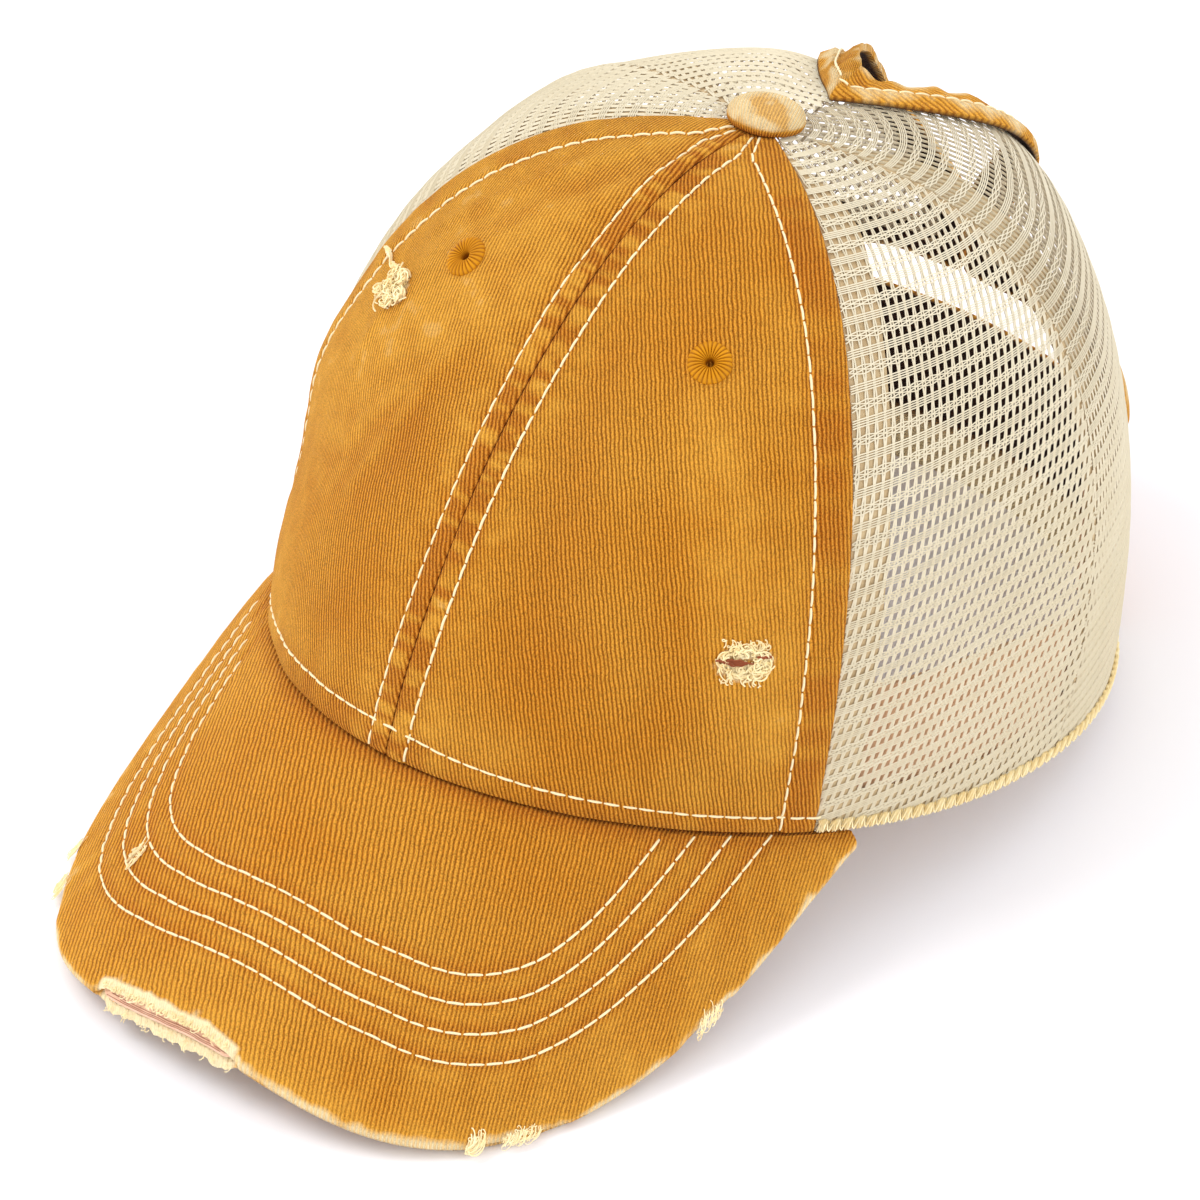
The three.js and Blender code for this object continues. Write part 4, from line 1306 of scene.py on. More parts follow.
def hem_threads():
    """Threads wrapped over the net's lower edge, from the twill to the opening."""
    paths = []
    for side in SIDES:
        end = side * opening_angle(side, BACK_TOTAL, BINDING_FOOT, GAP / 2, 0)
        whole = np.linspace(math.radians(FRONT_SEAM), float(end), 900)
        along = side * crown.width(side * whole, 0.0)
        places = np.arange(along[0] + 0.4, along[-1] - 0.3, HEM_PITCH / 4)
        theta = np.interp(places, along, whole)
        turn = np.arange(len(places)) % 4
        for lift, high in HEM_THREADS:
            share = np.array(high)[turn] * (1 + 0.15 * ripple(places / 2, 0.5, 91))
            rise = np.clip(share, 0.04, 1.2) * HEM_REACH / crown.climb(side * theta, 1.0)
            paths.append((crown.at(side * theta, rise, lift + 0.2 * np.sin(places * 2.1)), 1.35))
    return paths


# Peak

# Length of the edge for each radian of the rays over the peak
PEAK_AROUND = 105

# How far round each stitch row goes, and the inset and the spacing of the rows by angle
PEAK_ROW_ENDS = (71.2, 63.6, 57.0, 50.4)
ROW_ANGLES = (-71, -40, -30, -24, -16, -8, 8, 16, 24, 33, 47, 71)
ROW_INSETS = (8.2, 8.1, 9.1, 10.6, 12.7, 13.5, 13.6, 13.6, 12.0, 10.8, 11.6, 11.2)
ROW_SPACING_ANGLES = (-70, -50, 0, 28, 50, 71)
ROW_SPACINGS = (5.2, 4.8, 4.2, 4.2, 4.9, 5.2)

# How deep the colour of the unworn peak is
PEAK_DEEP = 0.12

# Width of the tear's white lip, how much of the solid's cut is cut here, and the flap's bulge
TORN_LIP = 2.7
FLAP_LIP = 4.0
CUT_SHARE = 0.65
FLAP_LOBE = 0.9

PEAK_STEPS = {"upper": 46, "under": 20, "board": 8}

# Rays that the peak's layers are made on, with more of them at the worn places
PEAK_ANGLES = np.radians(np.unique(np.concatenate((
    np.linspace(-PEAK_END, PEAK_END, 215), np.arange(-41, -26, 0.4), np.arange(-17, 8, 0.3),
    np.arange(28, 40, 0.4),
)).round(4)))[None, :]


def edge_ripple(phi, length, across, seed):
    """Irregular values along the peak's edge, with about one bump for each length of it."""
    return ripple(phi * PEAK_AROUND / length, across, seed)


def row_inset(phi, number):
    """How far one of the peak's stitch rows lies from its edge."""
    degrees = np.degrees(phi)
    spacing = np.interp(degrees, ROW_SPACING_ANGLES, ROW_SPACINGS)
    return np.interp(degrees, ROW_ANGLES, ROW_INSETS) + number * spacing


def peak_relief(phi, radius):
    """Height of the upper cloth over the smooth peak, with how faded and deep it is. The deep
    colour is a deeper dye all over, with painted shade beside the stitch rows and at the rim.
    """
    rim_radius, edge, _, _ = peak_ray(phi)
    inset = edge - radius
    pucker = edge_ripple(phi, 3.6, inset / 9, 31)
    height = 0.16 * pucker * ramp(inset, 0, 3)
    deep = np.full(np.shape(inset), PEAK_DEEP)
    # Paler near the edge, and paler towards the wearer's right
    fade = 0.22 * hill(inset - 4, 5) * (1 + pucker) + 0.3 * ramp(-np.degrees(phi), 15, 50)
    for number in range(len(PEAK_ROW_ENDS)):
        away = inset - row_inset(phi, number)
        height -= 0.38 * hill(away, 0.8)
        # Painted shade beside each stitch row's groove
        deep += 0.75 * hill(away - 0.3, 1.2)
        fade += 0.2 * hill(away + 1.7, 1.1) * (1 + pucker)
    height -= 0.6 * ramp(radius - rim_radius, 1.6, 0)
    # Painted shade where the peak meets the crown
    deep += 0.9 * hill(radius - rim_radius, 2.2)
    worn = inset - wear_at(phi)
    fade += 1.5 * hill(worn, 0.75) + 0.5 * hill(worn, 3.2) * (1 + edge_ripple(phi, 6, 0.5, 33))
    return height, np.clip(fade, 0, 1.6), np.clip(deep, 0, 1)


def peak_flat(points):
    """Places in the peak's flat pattern, where its slope is laid out level."""
    drop = 1 + (PEAK_DROOP * 2 * points[..., 0] / PEAK_HALF_WIDTH ** 2) ** 2 / 3
    return np.stack((points[..., 0] * np.sqrt(drop),
                     points[..., 1] * math.sqrt(1 + PEAK_SLOPE ** 2)), -1)


def tear_at(phi):
    """1 in the long tear, 0 in the small worn places and elsewhere."""
    return ramp(wear_at(phi) / WEAR_DEPTH, 0.3, 0.7)


def ragged(phi, seed, size=1.0):
    """A torn edge's irregular depth."""
    worn = wear_at(phi) * CUT_SHARE
    teeth = 0.22 * edge_ripple(phi, 1.3, 0.5, seed) + 0.4 * edge_ripple(phi, 5, 2.5, seed + 1)
    return worn + size * teeth * ramp(worn, 0.05, 1.2)


def peak_layer(name, rows_out, rows_in, worn, relief, material, material_slot, node, turned,
               lip=TORN_LIP):
    """One layer of the peak from rows of inset shares and depths. A torn edge stays flat."""
    phi = PEAK_ANGLES
    rim_radius, edge, _, _ = peak_ray(phi)
    inner = rim_radius - PEAK_TUCK
    outer = edge - worn
    rounded = np.minimum(PEAK_EDGE_ROUND, (outer - inner) / 3)
    at_rim = np.minimum(rim_radius, outer - rounded - (outer - inner) / 5)

    def face(rows, raised):
        radii, depths = [], []
        for kind, share, depth in rows:
            if kind == "tuck":
                radii.append(mix(inner, at_rim, share))
            elif kind == "top":
                radii.append(mix(at_rim, outer - rounded, share))
            else:
                radii.append(outer - rounded * share)
            torn = tear_at(phi) if kind == "edge" else 0 * phi
            depths.append(mix(np.full(phi.shape, depth), rows[0][2], torn))
        radius = np.concatenate(radii)
        depth = np.concatenate(depths)
        angle = np.broadcast_to(phi, radius.shape)
        height, fade, deep = peak_relief(angle, radius)
        return peak_at(angle, radius, depth - height * raised), fade, deep

    top, fade, deep = face(rows_out, relief)
    under, _, _ = face(rows_in, False)
    fluffy = lip + 0.45 * edge_ripple(phi, 1.1, 0.5, 45) + 0.3 * edge_ripple(phi, 4, 1.5, 46)
    inset = np.linalg.norm(top - top[-1:], axis=-1)
    bare = ramp(inset, fluffy + 0.25, fluffy - 0.25) * ramp(tear_at(phi), 0, 0.3)
    build_wall(name, top, under, turned, material, material_slot, (node,),
               (peak_flat(top), peak_flat(under)), fade=fade * (1 - bare), deep=deep, bare=bare)


def peak_rows(depth, edge, steps):
    """Rows from the rim to the edge: the part that each is in, its share of it and its depth."""
    rows = [("tuck", 0, depth), ("tuck", 0.5, depth)]
    rows += [("top", share, depth) for share in np.linspace(0, 1, steps)]
    return rows + [("edge", share, edge_depth) for share, edge_depth in edge]


def peak_pieces():
    lip = PEAK_CLOTH / PEAK_EDGE_ROUND
    outside = ((0.7, 0.05), (0.4, 0.25), (0.15, 0.75), (0, 1.3), (0, SEAM_DEPTH))
    inside = ((0.9, PEAK_CLOTH), (0.8, PEAK_CLOTH), (0.65, PEAK_CLOTH), (lip, PEAK_CLOTH + 0.2),
              (lip, SEAM_DEPTH))
    phi = PEAK_ANGLES
    tear = tear_at(phi)
    steps = PEAK_STEPS["upper"]
    peak_layer("peak_upper_twill", peak_rows(0, outside, steps),
               peak_rows(PEAK_CLOTH, inside, steps), ragged(phi, 41), True, "Twill Peak",
               "twill", "peak_upper_cloth", True)
    flipped_out = tuple((share, PEAK_DEPTH - depth) for share, depth in outside)
    flipped_in = tuple((share, PEAK_DEPTH - depth) for share, depth in inside)
    flap = 0.7 + 0.8 * edge_ripple(phi, 3.6, 0.5, 44) + 0.4 * edge_ripple(phi, 0.9, 0.5, 49)
    flap += FLAP_LOBE * hill(np.degrees(phi) + 0.5, 2.2)
    steps = PEAK_STEPS["under"]
    peak_layer("peak_under_twill", peak_rows(PEAK_DEPTH, flipped_out, steps),
               peak_rows(PEAK_DEPTH - PEAK_CLOTH, flipped_in, steps),
               0.35 * ragged(phi, 43) * (1 - tear) - tear * flap, False, "Twill Peak",
               "twill", "peak_under_cloth", False, FLAP_LIP)
    top = PEAK_CLOTH + GAP
    bottom = top + PEAK_BOARD
    cut = top / PEAK_EDGE_ROUND
    steps = PEAK_STEPS["board"]
    peak_layer("peak_inner_board", peak_rows(top, ((cut, top),), steps),
               peak_rows(bottom, ((cut, bottom),), steps), mix(ragged(phi, 47, 0.8), -0.9, tear),
               False, "Board", "board", "peak_board", True)


# Sweatband, binding, strap, button and eyelets


def sweatband():
    out = -(max(TWILL_WALL, NET_WALL) + GAP)
    right, left = (opening_angle(side, BACK_TOTAL, BINDING_FOOT, 0, 0) for side in (-1, 1))
    theta = mix(right, left, np.linspace(0, 1, 281))[None, :]
    rise = crown.rise_at_height(theta, BAND_HEIGHT) * np.linspace(0, 1, 15)[:, None]
    theta = np.broadcast_to(theta, rise.shape)
    soft = 0.25 * ripple(theta * 14, rise * 9, 53) * ramp(rise, 0, 0.05)
    build_wall("sweatband_cloth", crown.at(theta, rise, out - 0.1 + np.minimum(soft, 0)),
               crown.at(theta, rise, out - BAND_WALL - np.abs(soft)), False, "Sweatband",
               "sweatband", ("sweatband",), crown.flat(theta, rise))


# Inset of the binding's five rows, and how much wall, rise, gathers and roll each one has
BINDING_ROWS = {
    "inset": (0, 0.45 * BINDING_FOOT, BINDING_FOOT, BINDING_FOOT + 0.5 * BINDING_FACING,
              BINDING_FOOT + BINDING_FACING),
    "over": (0.7, 1, 1, 1, 0.9),
    "rise": (0, 0, 0, 0.4, 1),
    "gather": (0, 0, 0, 0.7, 1),
    "roll": (0, 1, 0, 0, 0),
}
BINDING_COLUMNS = 260
BINDING_STEPS = 17
BINDING_ROW_WIDTH = 2.8

# The step whose line of points gives the length along the binding
BINDING_MEASURED = 6

# The cloth's curl is lower than the solid's, with a flat top on this much of its station
CURL_TOP = 0.15
CURL_LOWER = 1.4
CURL_SPANS = (0.2, 0.11)

# How far each row of the binding rises in the curl, where the cloth is rolled over
CURL_RISES = (0, 0.3, 0.55, 0.85, 1)

# How much of the gathers is smoothed out in the curl
CURL_CALM = 0.75


def binding_length(share, inset):
    """Length down the back at a share of the way along the binding, over hole, waist and arch."""
    crowding = np.clip(share / HOLE_SHARE, 0, 1) ** STATION_CROWDING
    over_hole = mix(OPENING_START + inset, WAIST_LENGTH, crowding)
    waist_share = np.clip((share - HOLE_SHARE) / (WAIST_SHARE - HOLE_SHARE), 0, 1)
    over_waist = mix(WAIST_LENGTH, arch_top(inset), waist_share)
    turn = np.clip((share - WAIST_SHARE) / (1 - WAIST_SHARE), 0, 1) * np.pi / 2
    over_arch = mix(arch_top(inset), BINDING_END, 1 - np.cos(turn))
    below_hole = np.where(share <= WAIST_SHARE, over_waist, over_arch)
    return np.where(share <= HOLE_SHARE, over_hole, below_hole)


def binding_surface(station, row, top):
    """A point of the binding. Station runs from -1 to 1 round the opening, row from 0 to 4."""
    value = {key: np.interp(row, range(5), values) for key, values in BINDING_ROWS.items()}
    share = np.abs(station)
    length = binding_length(share, value["inset"])
    rise = rise_at_back_length(length)
    half = opening_half(length, value["inset"])
    left = crown.angle_at_x(1, opening_middle(length) + half, rise)
    right = crown.angle_at_x(-1, opening_middle(length) - half, rise)
    theta = np.where(station < 0, right, left)
    from_curl = station - np.clip(station, BINDING_CURL_PLACE, BINDING_CURL_PLACE + CURL_TOP)
    curl = hill(from_curl, np.where(from_curl < 0, *CURL_SPANS))
    stand = mix(BINDING_SIDE_RISE, BINDING_CURL_RISE - CURL_LOWER, curl)
    rises = mix(value["rise"], np.interp(row, range(5), CURL_RISES), curl)
    wave = BINDING_GATHER * np.sin(share * BINDING_GATHERS * 2 * np.pi) * value["gather"]
    wave = wave * (1 - CURL_CALM * curl)
    base = BINDING_SEAT + stand * rises + wave + BINDING_GATHER * value["gather"]
    height = base + top * (BINDING_WALL * value["over"] + BINDING_ROLL * value["roll"])
    return theta, rise, height, length


def opening_binding():
    station, row = np.meshgrid(np.linspace(-1, 1, BINDING_COLUMNS + 1),
                               np.linspace(0, 4, BINDING_STEPS))
    theta, rise, height, length = binding_surface(station, row, 1)
    crease = ripple(length * np.sign(station) / 2.6, row / 3, 61)
    top = crown.at(theta, rise, height + 0.3 * crease * ramp(row, 1.2, 2.6))
    theta_in, rise_in, base, _ = binding_surface(station, row, 0)
    steps = np.linalg.norm(np.diff(top[BINDING_MEASURED], axis=0), axis=-1)
    along = np.broadcast_to(np.concatenate(((0,), np.cumsum(steps))), row.shape)
    # The gathers' crests are lighter with painted highlight and their troughs darker with painted
    # shade, and a line where the facing meets the foot gets painted shade; the roll and the outer
    # edge are worn
    fade = 0.75 + 0.6 * hill(row - 1, 0.7) + 0.5 * hill(row - 4, 0.7) + 0.3 * crease
    deep = 0.6 * ramp(crease, 0, -0.8) + 0.5 * hill(row - 2.2, 0.5)
    # Most of the inner face is painted dark as shade
    build_wall("opening_binding_twill", top, crown.at(theta_in, rise_in, base), True,
               "Twill Binding", "twill", ("opening_binding",),
               np.stack((along, row * BINDING_ROW_WIDTH), -1), fade=np.clip(fade, 0, 1.5),
               deep=np.clip(deep, 0, 1), inside=(0 * row, ramp(row, 3.9, 3.6)))


# The strap's inner face is dark above this height, the fastening tape deepened with painted shade,
# and pale below it
STRAP_PALE = 14


def closing_strap():
    half = opening_half(BACK_TOTAL, 0)
    right = crown.angle_at_x(-1, -half - STRAP_LAP, 0)
    left = crown.angle_at_x(1, half + STRAP_LAP, 0) - 2 * math.pi
    theta = mix(right, left, crowded(90))[None, :]
    rise = crown.rise_at_height(theta, STRAP_HEIGHT) * crowded(16)[:, None]
    theta = np.broadcast_to(theta, rise.shape)
    flat = crown.flat(theta, rise)
    soft = 0.15 * ripple(flat[..., 0] / 7, rise * 30, 67)
    outer = crown.at(theta, rise, GAP + STRAP_WALL - 0.1 + np.minimum(soft, 0.1))
    zero = np.zeros(theta.shape)
    dark = ramp(crown.at(theta, rise)[..., 2], STRAP_PALE - 1, STRAP_PALE + 1)
    edge = hill(rise / rise.max() - 1, 0.08) + hill(rise / rise.max(), 0.08)
    build_wall("closing_strap_twill", outer, crown.at(theta, rise, GAP), True, "Twill Binding",
               "twill", ("closing_strap",), flat, fade=0.5 * edge, deep=zero,
               bare=(zero, 1 - dark), inside=(zero, dark))


def turned_faces(rings, sides):
    """Faces of a turned shape whose profile is closed."""
    ring = np.arange(rings)[:, None]
    side = np.arange(sides)[None, :]
    a = ring * sides + side
    b = ring * sides + (side + 1) % sides
    after = (ring + 1) % rings
    return np.stack((a, b, after * sides + (side + 1) % sides, after * sides + side), -1)


SHANK_RADIUS = 2.2
SHANK_DEPTH = 3.2


def top_button():
    sides = 72
    angle = np.linspace(0, np.pi / 2, 15)[:-1]
    radii = BUTTON_RADIUS * np.cos(angle) ** BUTTON_ROUNDNESS
    heights = BUTTON_EDGE / 2 + (BUTTON_HEIGHT - BUTTON_EDGE / 2) * np.sin(angle)
    profile = [(SHANK_RADIUS, -SHANK_DEPTH), (SHANK_RADIUS, GAP),
               (BUTTON_FOOT * BUTTON_RADIUS, GAP),
               (0.97 * BUTTON_RADIUS, 0.4 * BUTTON_EDGE / 2)]
    profile += list(zip(radii, heights))
    turn = np.arange(sides) * (2 * np.pi / sides)
    rings = [np.stack((radius * np.cos(turn), radius * np.sin(turn),
                       np.full(sides, float(height))), -1) for radius, height in profile]
    points = np.concatenate((*rings, ((0, 0, BUTTON_HEIGHT),)))
    reach = np.hypot(points[:, 0], points[:, 1])
    edge = reach / BUTTON_RADIUS
    tuck = ripple(np.arctan2(points[:, 1], points[:, 0]) * 3.2, 0.5, 71)
    points[:, 2] += 0.2 * tuck * ramp(edge, 0.8, 1) * (points[:, 2] > 0.5)
    faces = turned_faces(len(profile), sides)[:-1].reshape(-1, 4).tolist()
    faces.append(list(range(sides))[::-1])
    top = len(points) - 1
    last = top - sides
    faces += [[last + i, last + (i + 1) % sides, top] for i in range(sides)]
    # The button is paler towards its top, and its lower rim is darker with painted shade under the
    # dome's edge
    fade = 1.9 * ramp(points[:, 2], 0.9, 2.6)
    deep = 0.8 * ramp(edge, 0.86, 1) * (points[:, 2] < 3)
    over = reach + BUTTON_ROUNDNESS * np.clip(BUTTON_HEIGHT - points[:, 2], 0, None)
    build("button_twill", points + (0, BUTTON_BACK, CROWN_HEIGHT), faces, "Twill Button",
          ("top_button",), unit(points[:, :2]) * over[:, None],
          {"fade": fade, "deep": deep})


def eyelet_axes(side):
    theta = np.array(math.radians(EYELET_ANGLES[side]))
    out = crown.out(theta, EYELET_RISE)
    across = unit(np.cross((0, 0, 1.0), out))
    return crown.at(theta, EYELET_RISE), across, np.cross(out, across), out


EYELET_INSIDE = TWILL_WALL + GAP
EYELET_STITCHES = 26
EYELET_RIDGE = 0.34

# Radius and height over the cloth, from the hole's inner end over the ring and back into the hole
EYELET_PROFILE = (
    (EYELET_HOLE, -EYELET_INSIDE), (2.2, -EYELET_INSIDE), (2.2, -0.2), (4.0, -0.2),
    (EYELET_RADIUS, 0.1), (4.4, 0.5), (3.9, 0.95), (3.1, 1.2), (2.3, 1.2), (1.6, 1.0),
    (1.1, 0.55), (EYELET_HOLE, -0.1),
)


def eyelet(side):
    """A ring of raised satin stitches, each one a low ridge from the hole to the rim."""
    sides = EYELET_STITCHES * 6
    turn = np.arange(sides) * (2 * np.pi / sides)
    ridge = np.abs(np.sin(turn * EYELET_STITCHES / 2))
    length = 1 + 0.03 * ripple(turn * EYELET_STITCHES / (2 * np.pi), 0.5, 73 + side)
    centre, across, up, out = eyelet_axes(side)
    points = []
    for radius, height in EYELET_PROFILE:
        shown = float(height > 0)
        reach = radius * mix(1, length, shown)
        level = height + EYELET_RIDGE * (ridge - 0.6) * shown
        points.append(centre + np.outer(reach * np.cos(turn), across)
                      + np.outer(reach * np.sin(turn), up) + np.outer(level, out))
    faces = turned_faces(len(EYELET_PROFILE), sides).reshape(-1, 4).tolist()
    # Painted shade between the satin stitches and inside the hole
    grooves = [ramp(ridge, 0.75, 0.1) if height > 0 else np.ones(sides)
               for _, height in EYELET_PROFILE]
    build(f"eyelet_satin_{SIDES[side]}", np.concatenate(points), faces, "Embroidery",
          (f"eyelet_{SIDES[side]}",), None, {"deep": np.concatenate(grooves)}, 80)


# Stitch rows

STITCH_LIFT = 0.1
BINDING_STITCH_ROW = 1.55


def crown_row(theta, rise, height):
    return crown.at(theta, rise, height), 1.0, crown.out(theta, rise)


def front_rows():
    """On each panel, a row beside the middle seam, one beside the net and one over the rim."""
    places = []
    for side in SIDES:
        rise = np.linspace(0.012, 0.96, 400)
        for seam, distance in ((0, CENTRE_ROW), (FRONT_SEAM, -NET_ROW)):
            start = np.full(rise.shape, side * math.radians(seam))
            distance = side * distance * row_share(side, rise)
            places.append((side, crown.beside(start, rise, distance), rise))
        theta = side * np.radians(np.linspace(0.6, FRONT_SEAM - 0.5, 300))
        height = rim_row(side, theta)
        rise = height / crown.climb(theta, 1.0)
        for _ in range(4):
            rise = rise * height / crown.climb(theta, rise)
        places.append((side, theta, rise))
    return [crown_row(theta, rise, front_relief(side, theta, rise)[0] + STITCH_LIFT)
            for side, theta, rise in places]


def peak_stitch_rows():
    rows = []
    for number, end in enumerate(PEAK_ROW_ENDS):
        phi = np.radians(np.linspace(-end + 1, end - 0.5, 600))
        edge = peak_ray(phi)[1]
        radius = edge - row_inset(phi, number)
        height = peak_relief(phi, radius)[0] + STITCH_LIFT
        rows.append((peak_at(phi, radius, -height), 1.0, peak_out(phi, radius)))
    return rows


def binding_stitches():
    station = np.linspace(-0.97, 0.97, 900)
    row = np.full(station.shape, BINDING_STITCH_ROW)
    theta, rise, height, _ = binding_surface(station, row, 1)
    return [crown_row(theta, rise, height + 0.12)]


# Loose threads

FRAY_THICKNESS = 0.00026


def loose_threads(place, seed, count, oval, length, lift, swell=(0.8, 1.4), centre=(0, 0),
                  heading=None, curl=(0.15, 0.4), hollow=0.3):
    """Short curly threads over an oval. Place turns millimetres across, up and out to points."""
    rng = np.random.default_rng(seed)
    share = np.linspace(0, 1, 9)
    paths = []
    for _ in range(count):
        turn = rng.uniform(0, 2 * np.pi)
        reach = math.sqrt(rng.uniform(hollow, 1))
        across = centre[0] + oval[0] * reach * math.cos(turn)
        up = centre[1] + oval[1] * reach * math.sin(turn)
        way = turn + np.pi / 2 + rng.normal(0, 0.7) if heading is None else rng.normal(heading, 0.3)
        size = length * rng.uniform(0.5, 1.3)
        loop = size * rng.uniform(*curl)
        phase = rng.uniform(0, 2 * np.pi)
        bend = phase + share * rng.uniform(3, 8)
        u = across + size * (share - 0.5) * math.cos(way) + loop * (np.cos(bend) - math.cos(phase))
        v = up + size * (share - 0.5) * math.sin(way) + loop * (np.sin(bend) - math.sin(phase))
        out = 0.15 + lift * rng.uniform(0.3, 1.2) * np.sin(share * rng.uniform(1.6, 3.1))
        paths.append((place(u, v, out), rng.uniform(*swell)))
    return paths


def on_crown_at(degrees, height):
    """Places on the crown, round a point at a height over the rim's level."""
    theta = math.radians(degrees)
    rise = float(crown.rise_at_height(np.array(theta), height))

    def place(u, v, out):
        step = crown.climb(theta, rise + STEP) - crown.climb(theta, rise - STEP)
        here = rise + v * 2 * STEP / step
        return crown.at(crown.beside(theta, here, u), here, out)

    return place


def on_peak_at(degrees, inset, depth=0.0):
    """Places on the peak, at an inset from its edge and a depth under its upper face."""
    phi = math.radians(degrees)
    middle = float(peak_ray(phi)[1])

    def place(u, v, out):
        angle = phi + u / middle
        return peak_at(angle, peak_ray(angle)[1] - inset - v, depth - out)

    return place


# Threads of the round worn place: seed, how many, their oval, length and how far they stand up
TUFTS = {"curl": (0.1, 0.3), "swell": (0.9, 1.7)}
RING_THREADS = (
    (81, 110, (5.3, 3.2), 1.9, 0.8, {"hollow": 0.55, **TUFTS}),
    (87, 30, (3.4, 1.9), 1.7, 0.3, {"hollow": 0.3, **TUFTS}),
    (82, 30, (2.0, 1.0), 1.8, 0.9, {"centre": (3.0, -0.4), "hollow": 0, **TUFTS}),
    (85, 22, (4.8, 0.4), 1.5, 0.5, {"centre": (0, 3.8), "heading": 1.4}),
    (86, 12, (4.8, 0.4), 1.3, 0.4, {"centre": (0, -3.9), "heading": -1.4}),
)

# Middles of the puffs, and points along their loose strand
PUFFS = ((-3.2, -3.4), (3.0, -2.5), (5.0, 0.4), (2.4, 3.2), (-2.8, 1.2), (-0.4, -1.0))
STRAND = ((-3.0, 1.2), (-6.0, 0.9), (-9.0, 0.0), (-12.0, -0.2), (-15.0, -0.6), (-18.0, -1.8))


def front_frays():
    """A round worn place on the left panel, and puffs with a loose strand on the right one."""
    left, right = (on_crown_at(*FRAYS[side][0][:2]) for side in SIDES)
    paths = []
    for seed, count, oval, length, lift, more in RING_THREADS:
        paths += loose_threads(left, seed, count, oval, length, lift, **more)
    for number, centre in enumerate(PUFFS):
        paths += loose_threads(right, 83 + number, 36, (1.3, 0.8), 1.4, 1.7, centre=centre,
                               curl=(0.3, 0.7), hollow=0, swell=(1.0, 1.8))
    u, v = np.array(STRAND).T
    share = np.linspace(0, len(u) - 1, 30)
    for shift in (0, 1.2, 2.4):
        across = np.interp(share, range(len(u)), u) + 0.4 * np.sin(share * 3 + shift)
        up = np.interp(share, range(len(v)), v) + 0.4 * np.cos(share * 4 + shift)
        paths.append((right(across, up, 0.8 + 0.4 * np.sin(share * 2 + shift)), 2.4))
    return paths


def slit_shade_threads():
    """Dark threads that fill the slit of the round worn place, painted shade in the hole."""
    left = on_crown_at(*FRAYS[1][0][:2])
    share = np.linspace(-1, 1, 12)
    paths = []
    for middle, level, reach, count in ((SLIT[0], SLIT[1], SLIT[2], 6), (3.6, 1.7, 1.8, 2)):
        for number in range(count):
            step = number - (count - 1) / 2
            u = middle + (reach - abs(step) * 0.6) * share
            v = level + step * 0.24 * (1 - share ** 2) + 0.12 * np.sin(share * 9 + number)
            paths.append((left(u, v, 1.1 - 0.4 * share ** 2), 1.4))
    return paths


# Inset of each line, and the angles that it starts and ends at
BOARD_LINES = ((1.25, -12.5, 1.0), (0.95, -11.0, 4.0), (0.7, -13.0, 2.5))


def board_lines():
    """Thin dark brown lines along the board's edge in the tear."""
    paths = []
    for inset, begin, end in BOARD_LINES:
        phi = np.radians(np.linspace(begin, end, 60))
        radius = peak_ray(phi)[1] - inset + 0.12 * ripple(phi * 40, inset, 95)
        paths.append((peak_at(phi, radius, PEAK_CLOTH + GAP - 0.05), 0.5))
    return paths


# Loose threads on the peak's edge: direction and inset, how many, their oval, length, heading,
# how far they stand up, and swell
PEAK_FRAYS = (
    (-26.0, 16.3, 18, (0.25, 1.6), 1.7, 1.5, 0.4, (0.6, 1.0)),
    (-24.7, 16.5, 18, (0.25, 1.6), 1.7, 1.4, 0.4, (0.6, 1.0)),
    (-39.5, 0.5, 36, (1.7, 0.3), 1.7, 1.3, 0.1, (0.6, 1.0)),
    (-34.0, 0.5, 44, (2.6, 0.3), 1.6, 1.3, 0.1, (0.6, 1.0)),
    (29.2, 0.5, 34, (1.0, 0.7), 2.0, 1.0, 0.5, (0.6, 1.1)),
    (33.8, 0.4, 52, (3.8, 0.35), 1.5, 1.0, 0.25, (0.5, 0.9)),
    (57.0, 0.5, 40, (3.0, 0.35), 1.4, 0.6, 0.2, (0.5, 0.9)),
)

# Threads along the tear, on its flap and on its lip: inset and depth, seed, how many, their oval,
# length, how far they stand up, and swell
TEAR_DIRECTIONS = np.linspace(-13, 3, 13)
TEAR_FRAYS = (
    (-0.8, PEAK_DEPTH - 1.0, 100, 3, (1.5, 0.5), 1.0, 0.2, (0.5, 0.8)),
    (CUT_SHARE * WEAR_DEPTH + 0.3, 0.0, 130, 8, (1.6, 0.4), 0.9, 0.3, (0.6, 0.9)),
)


def peak_frays():
    paths = []
    for number, (degrees, inset, count, oval, length, lie, *more) in enumerate(PEAK_FRAYS):
        paths += loose_threads(on_peak_at(degrees, inset), 90 + number, count, oval, length,
                               *more, heading=lie, hollow=0)
    for number, degrees in enumerate(TEAR_DIRECTIONS):
        for inset, depth, seed, *more in TEAR_FRAYS:
            place = on_peak_at(degrees, inset, depth)
            paths += loose_threads(place, seed + number, *more, hollow=0)
    return paths


# Stage

CAMERA_PLACE = (0.5787715, -0.77820486, 0.80385572)
CAMERA_AZIMUTH = 36.680
CAMERA_ELEVATION = 38.116
CAMERA_ROLL = 1.100
CAMERA_LENS = 178.05

# Where each light stands and how wide it is
LIGHTS = {"key": ((-0.9, -0.7, 1.5), 0.9), "fill": ((1.3, -0.3, 0.9), 1.0)}
LIGHT_AIM = (0, 0, 0.05)
FLOOR_HALF_WIDTH = 6.0


def add_area_light(name, place, size, power):
    light = bpy.data.lights.new(name, "AREA")
    light.shape = "DISK"
    light.size = size
    light.energy = power
    obj = add_object(name, light)
    obj.location = place
    x, y, z = np.array(LIGHT_AIM) - np.array(place)
    obj.rotation_euler = (math.atan2(math.hypot(x, y), -z), 0, math.atan2(y, x) - math.pi / 2)


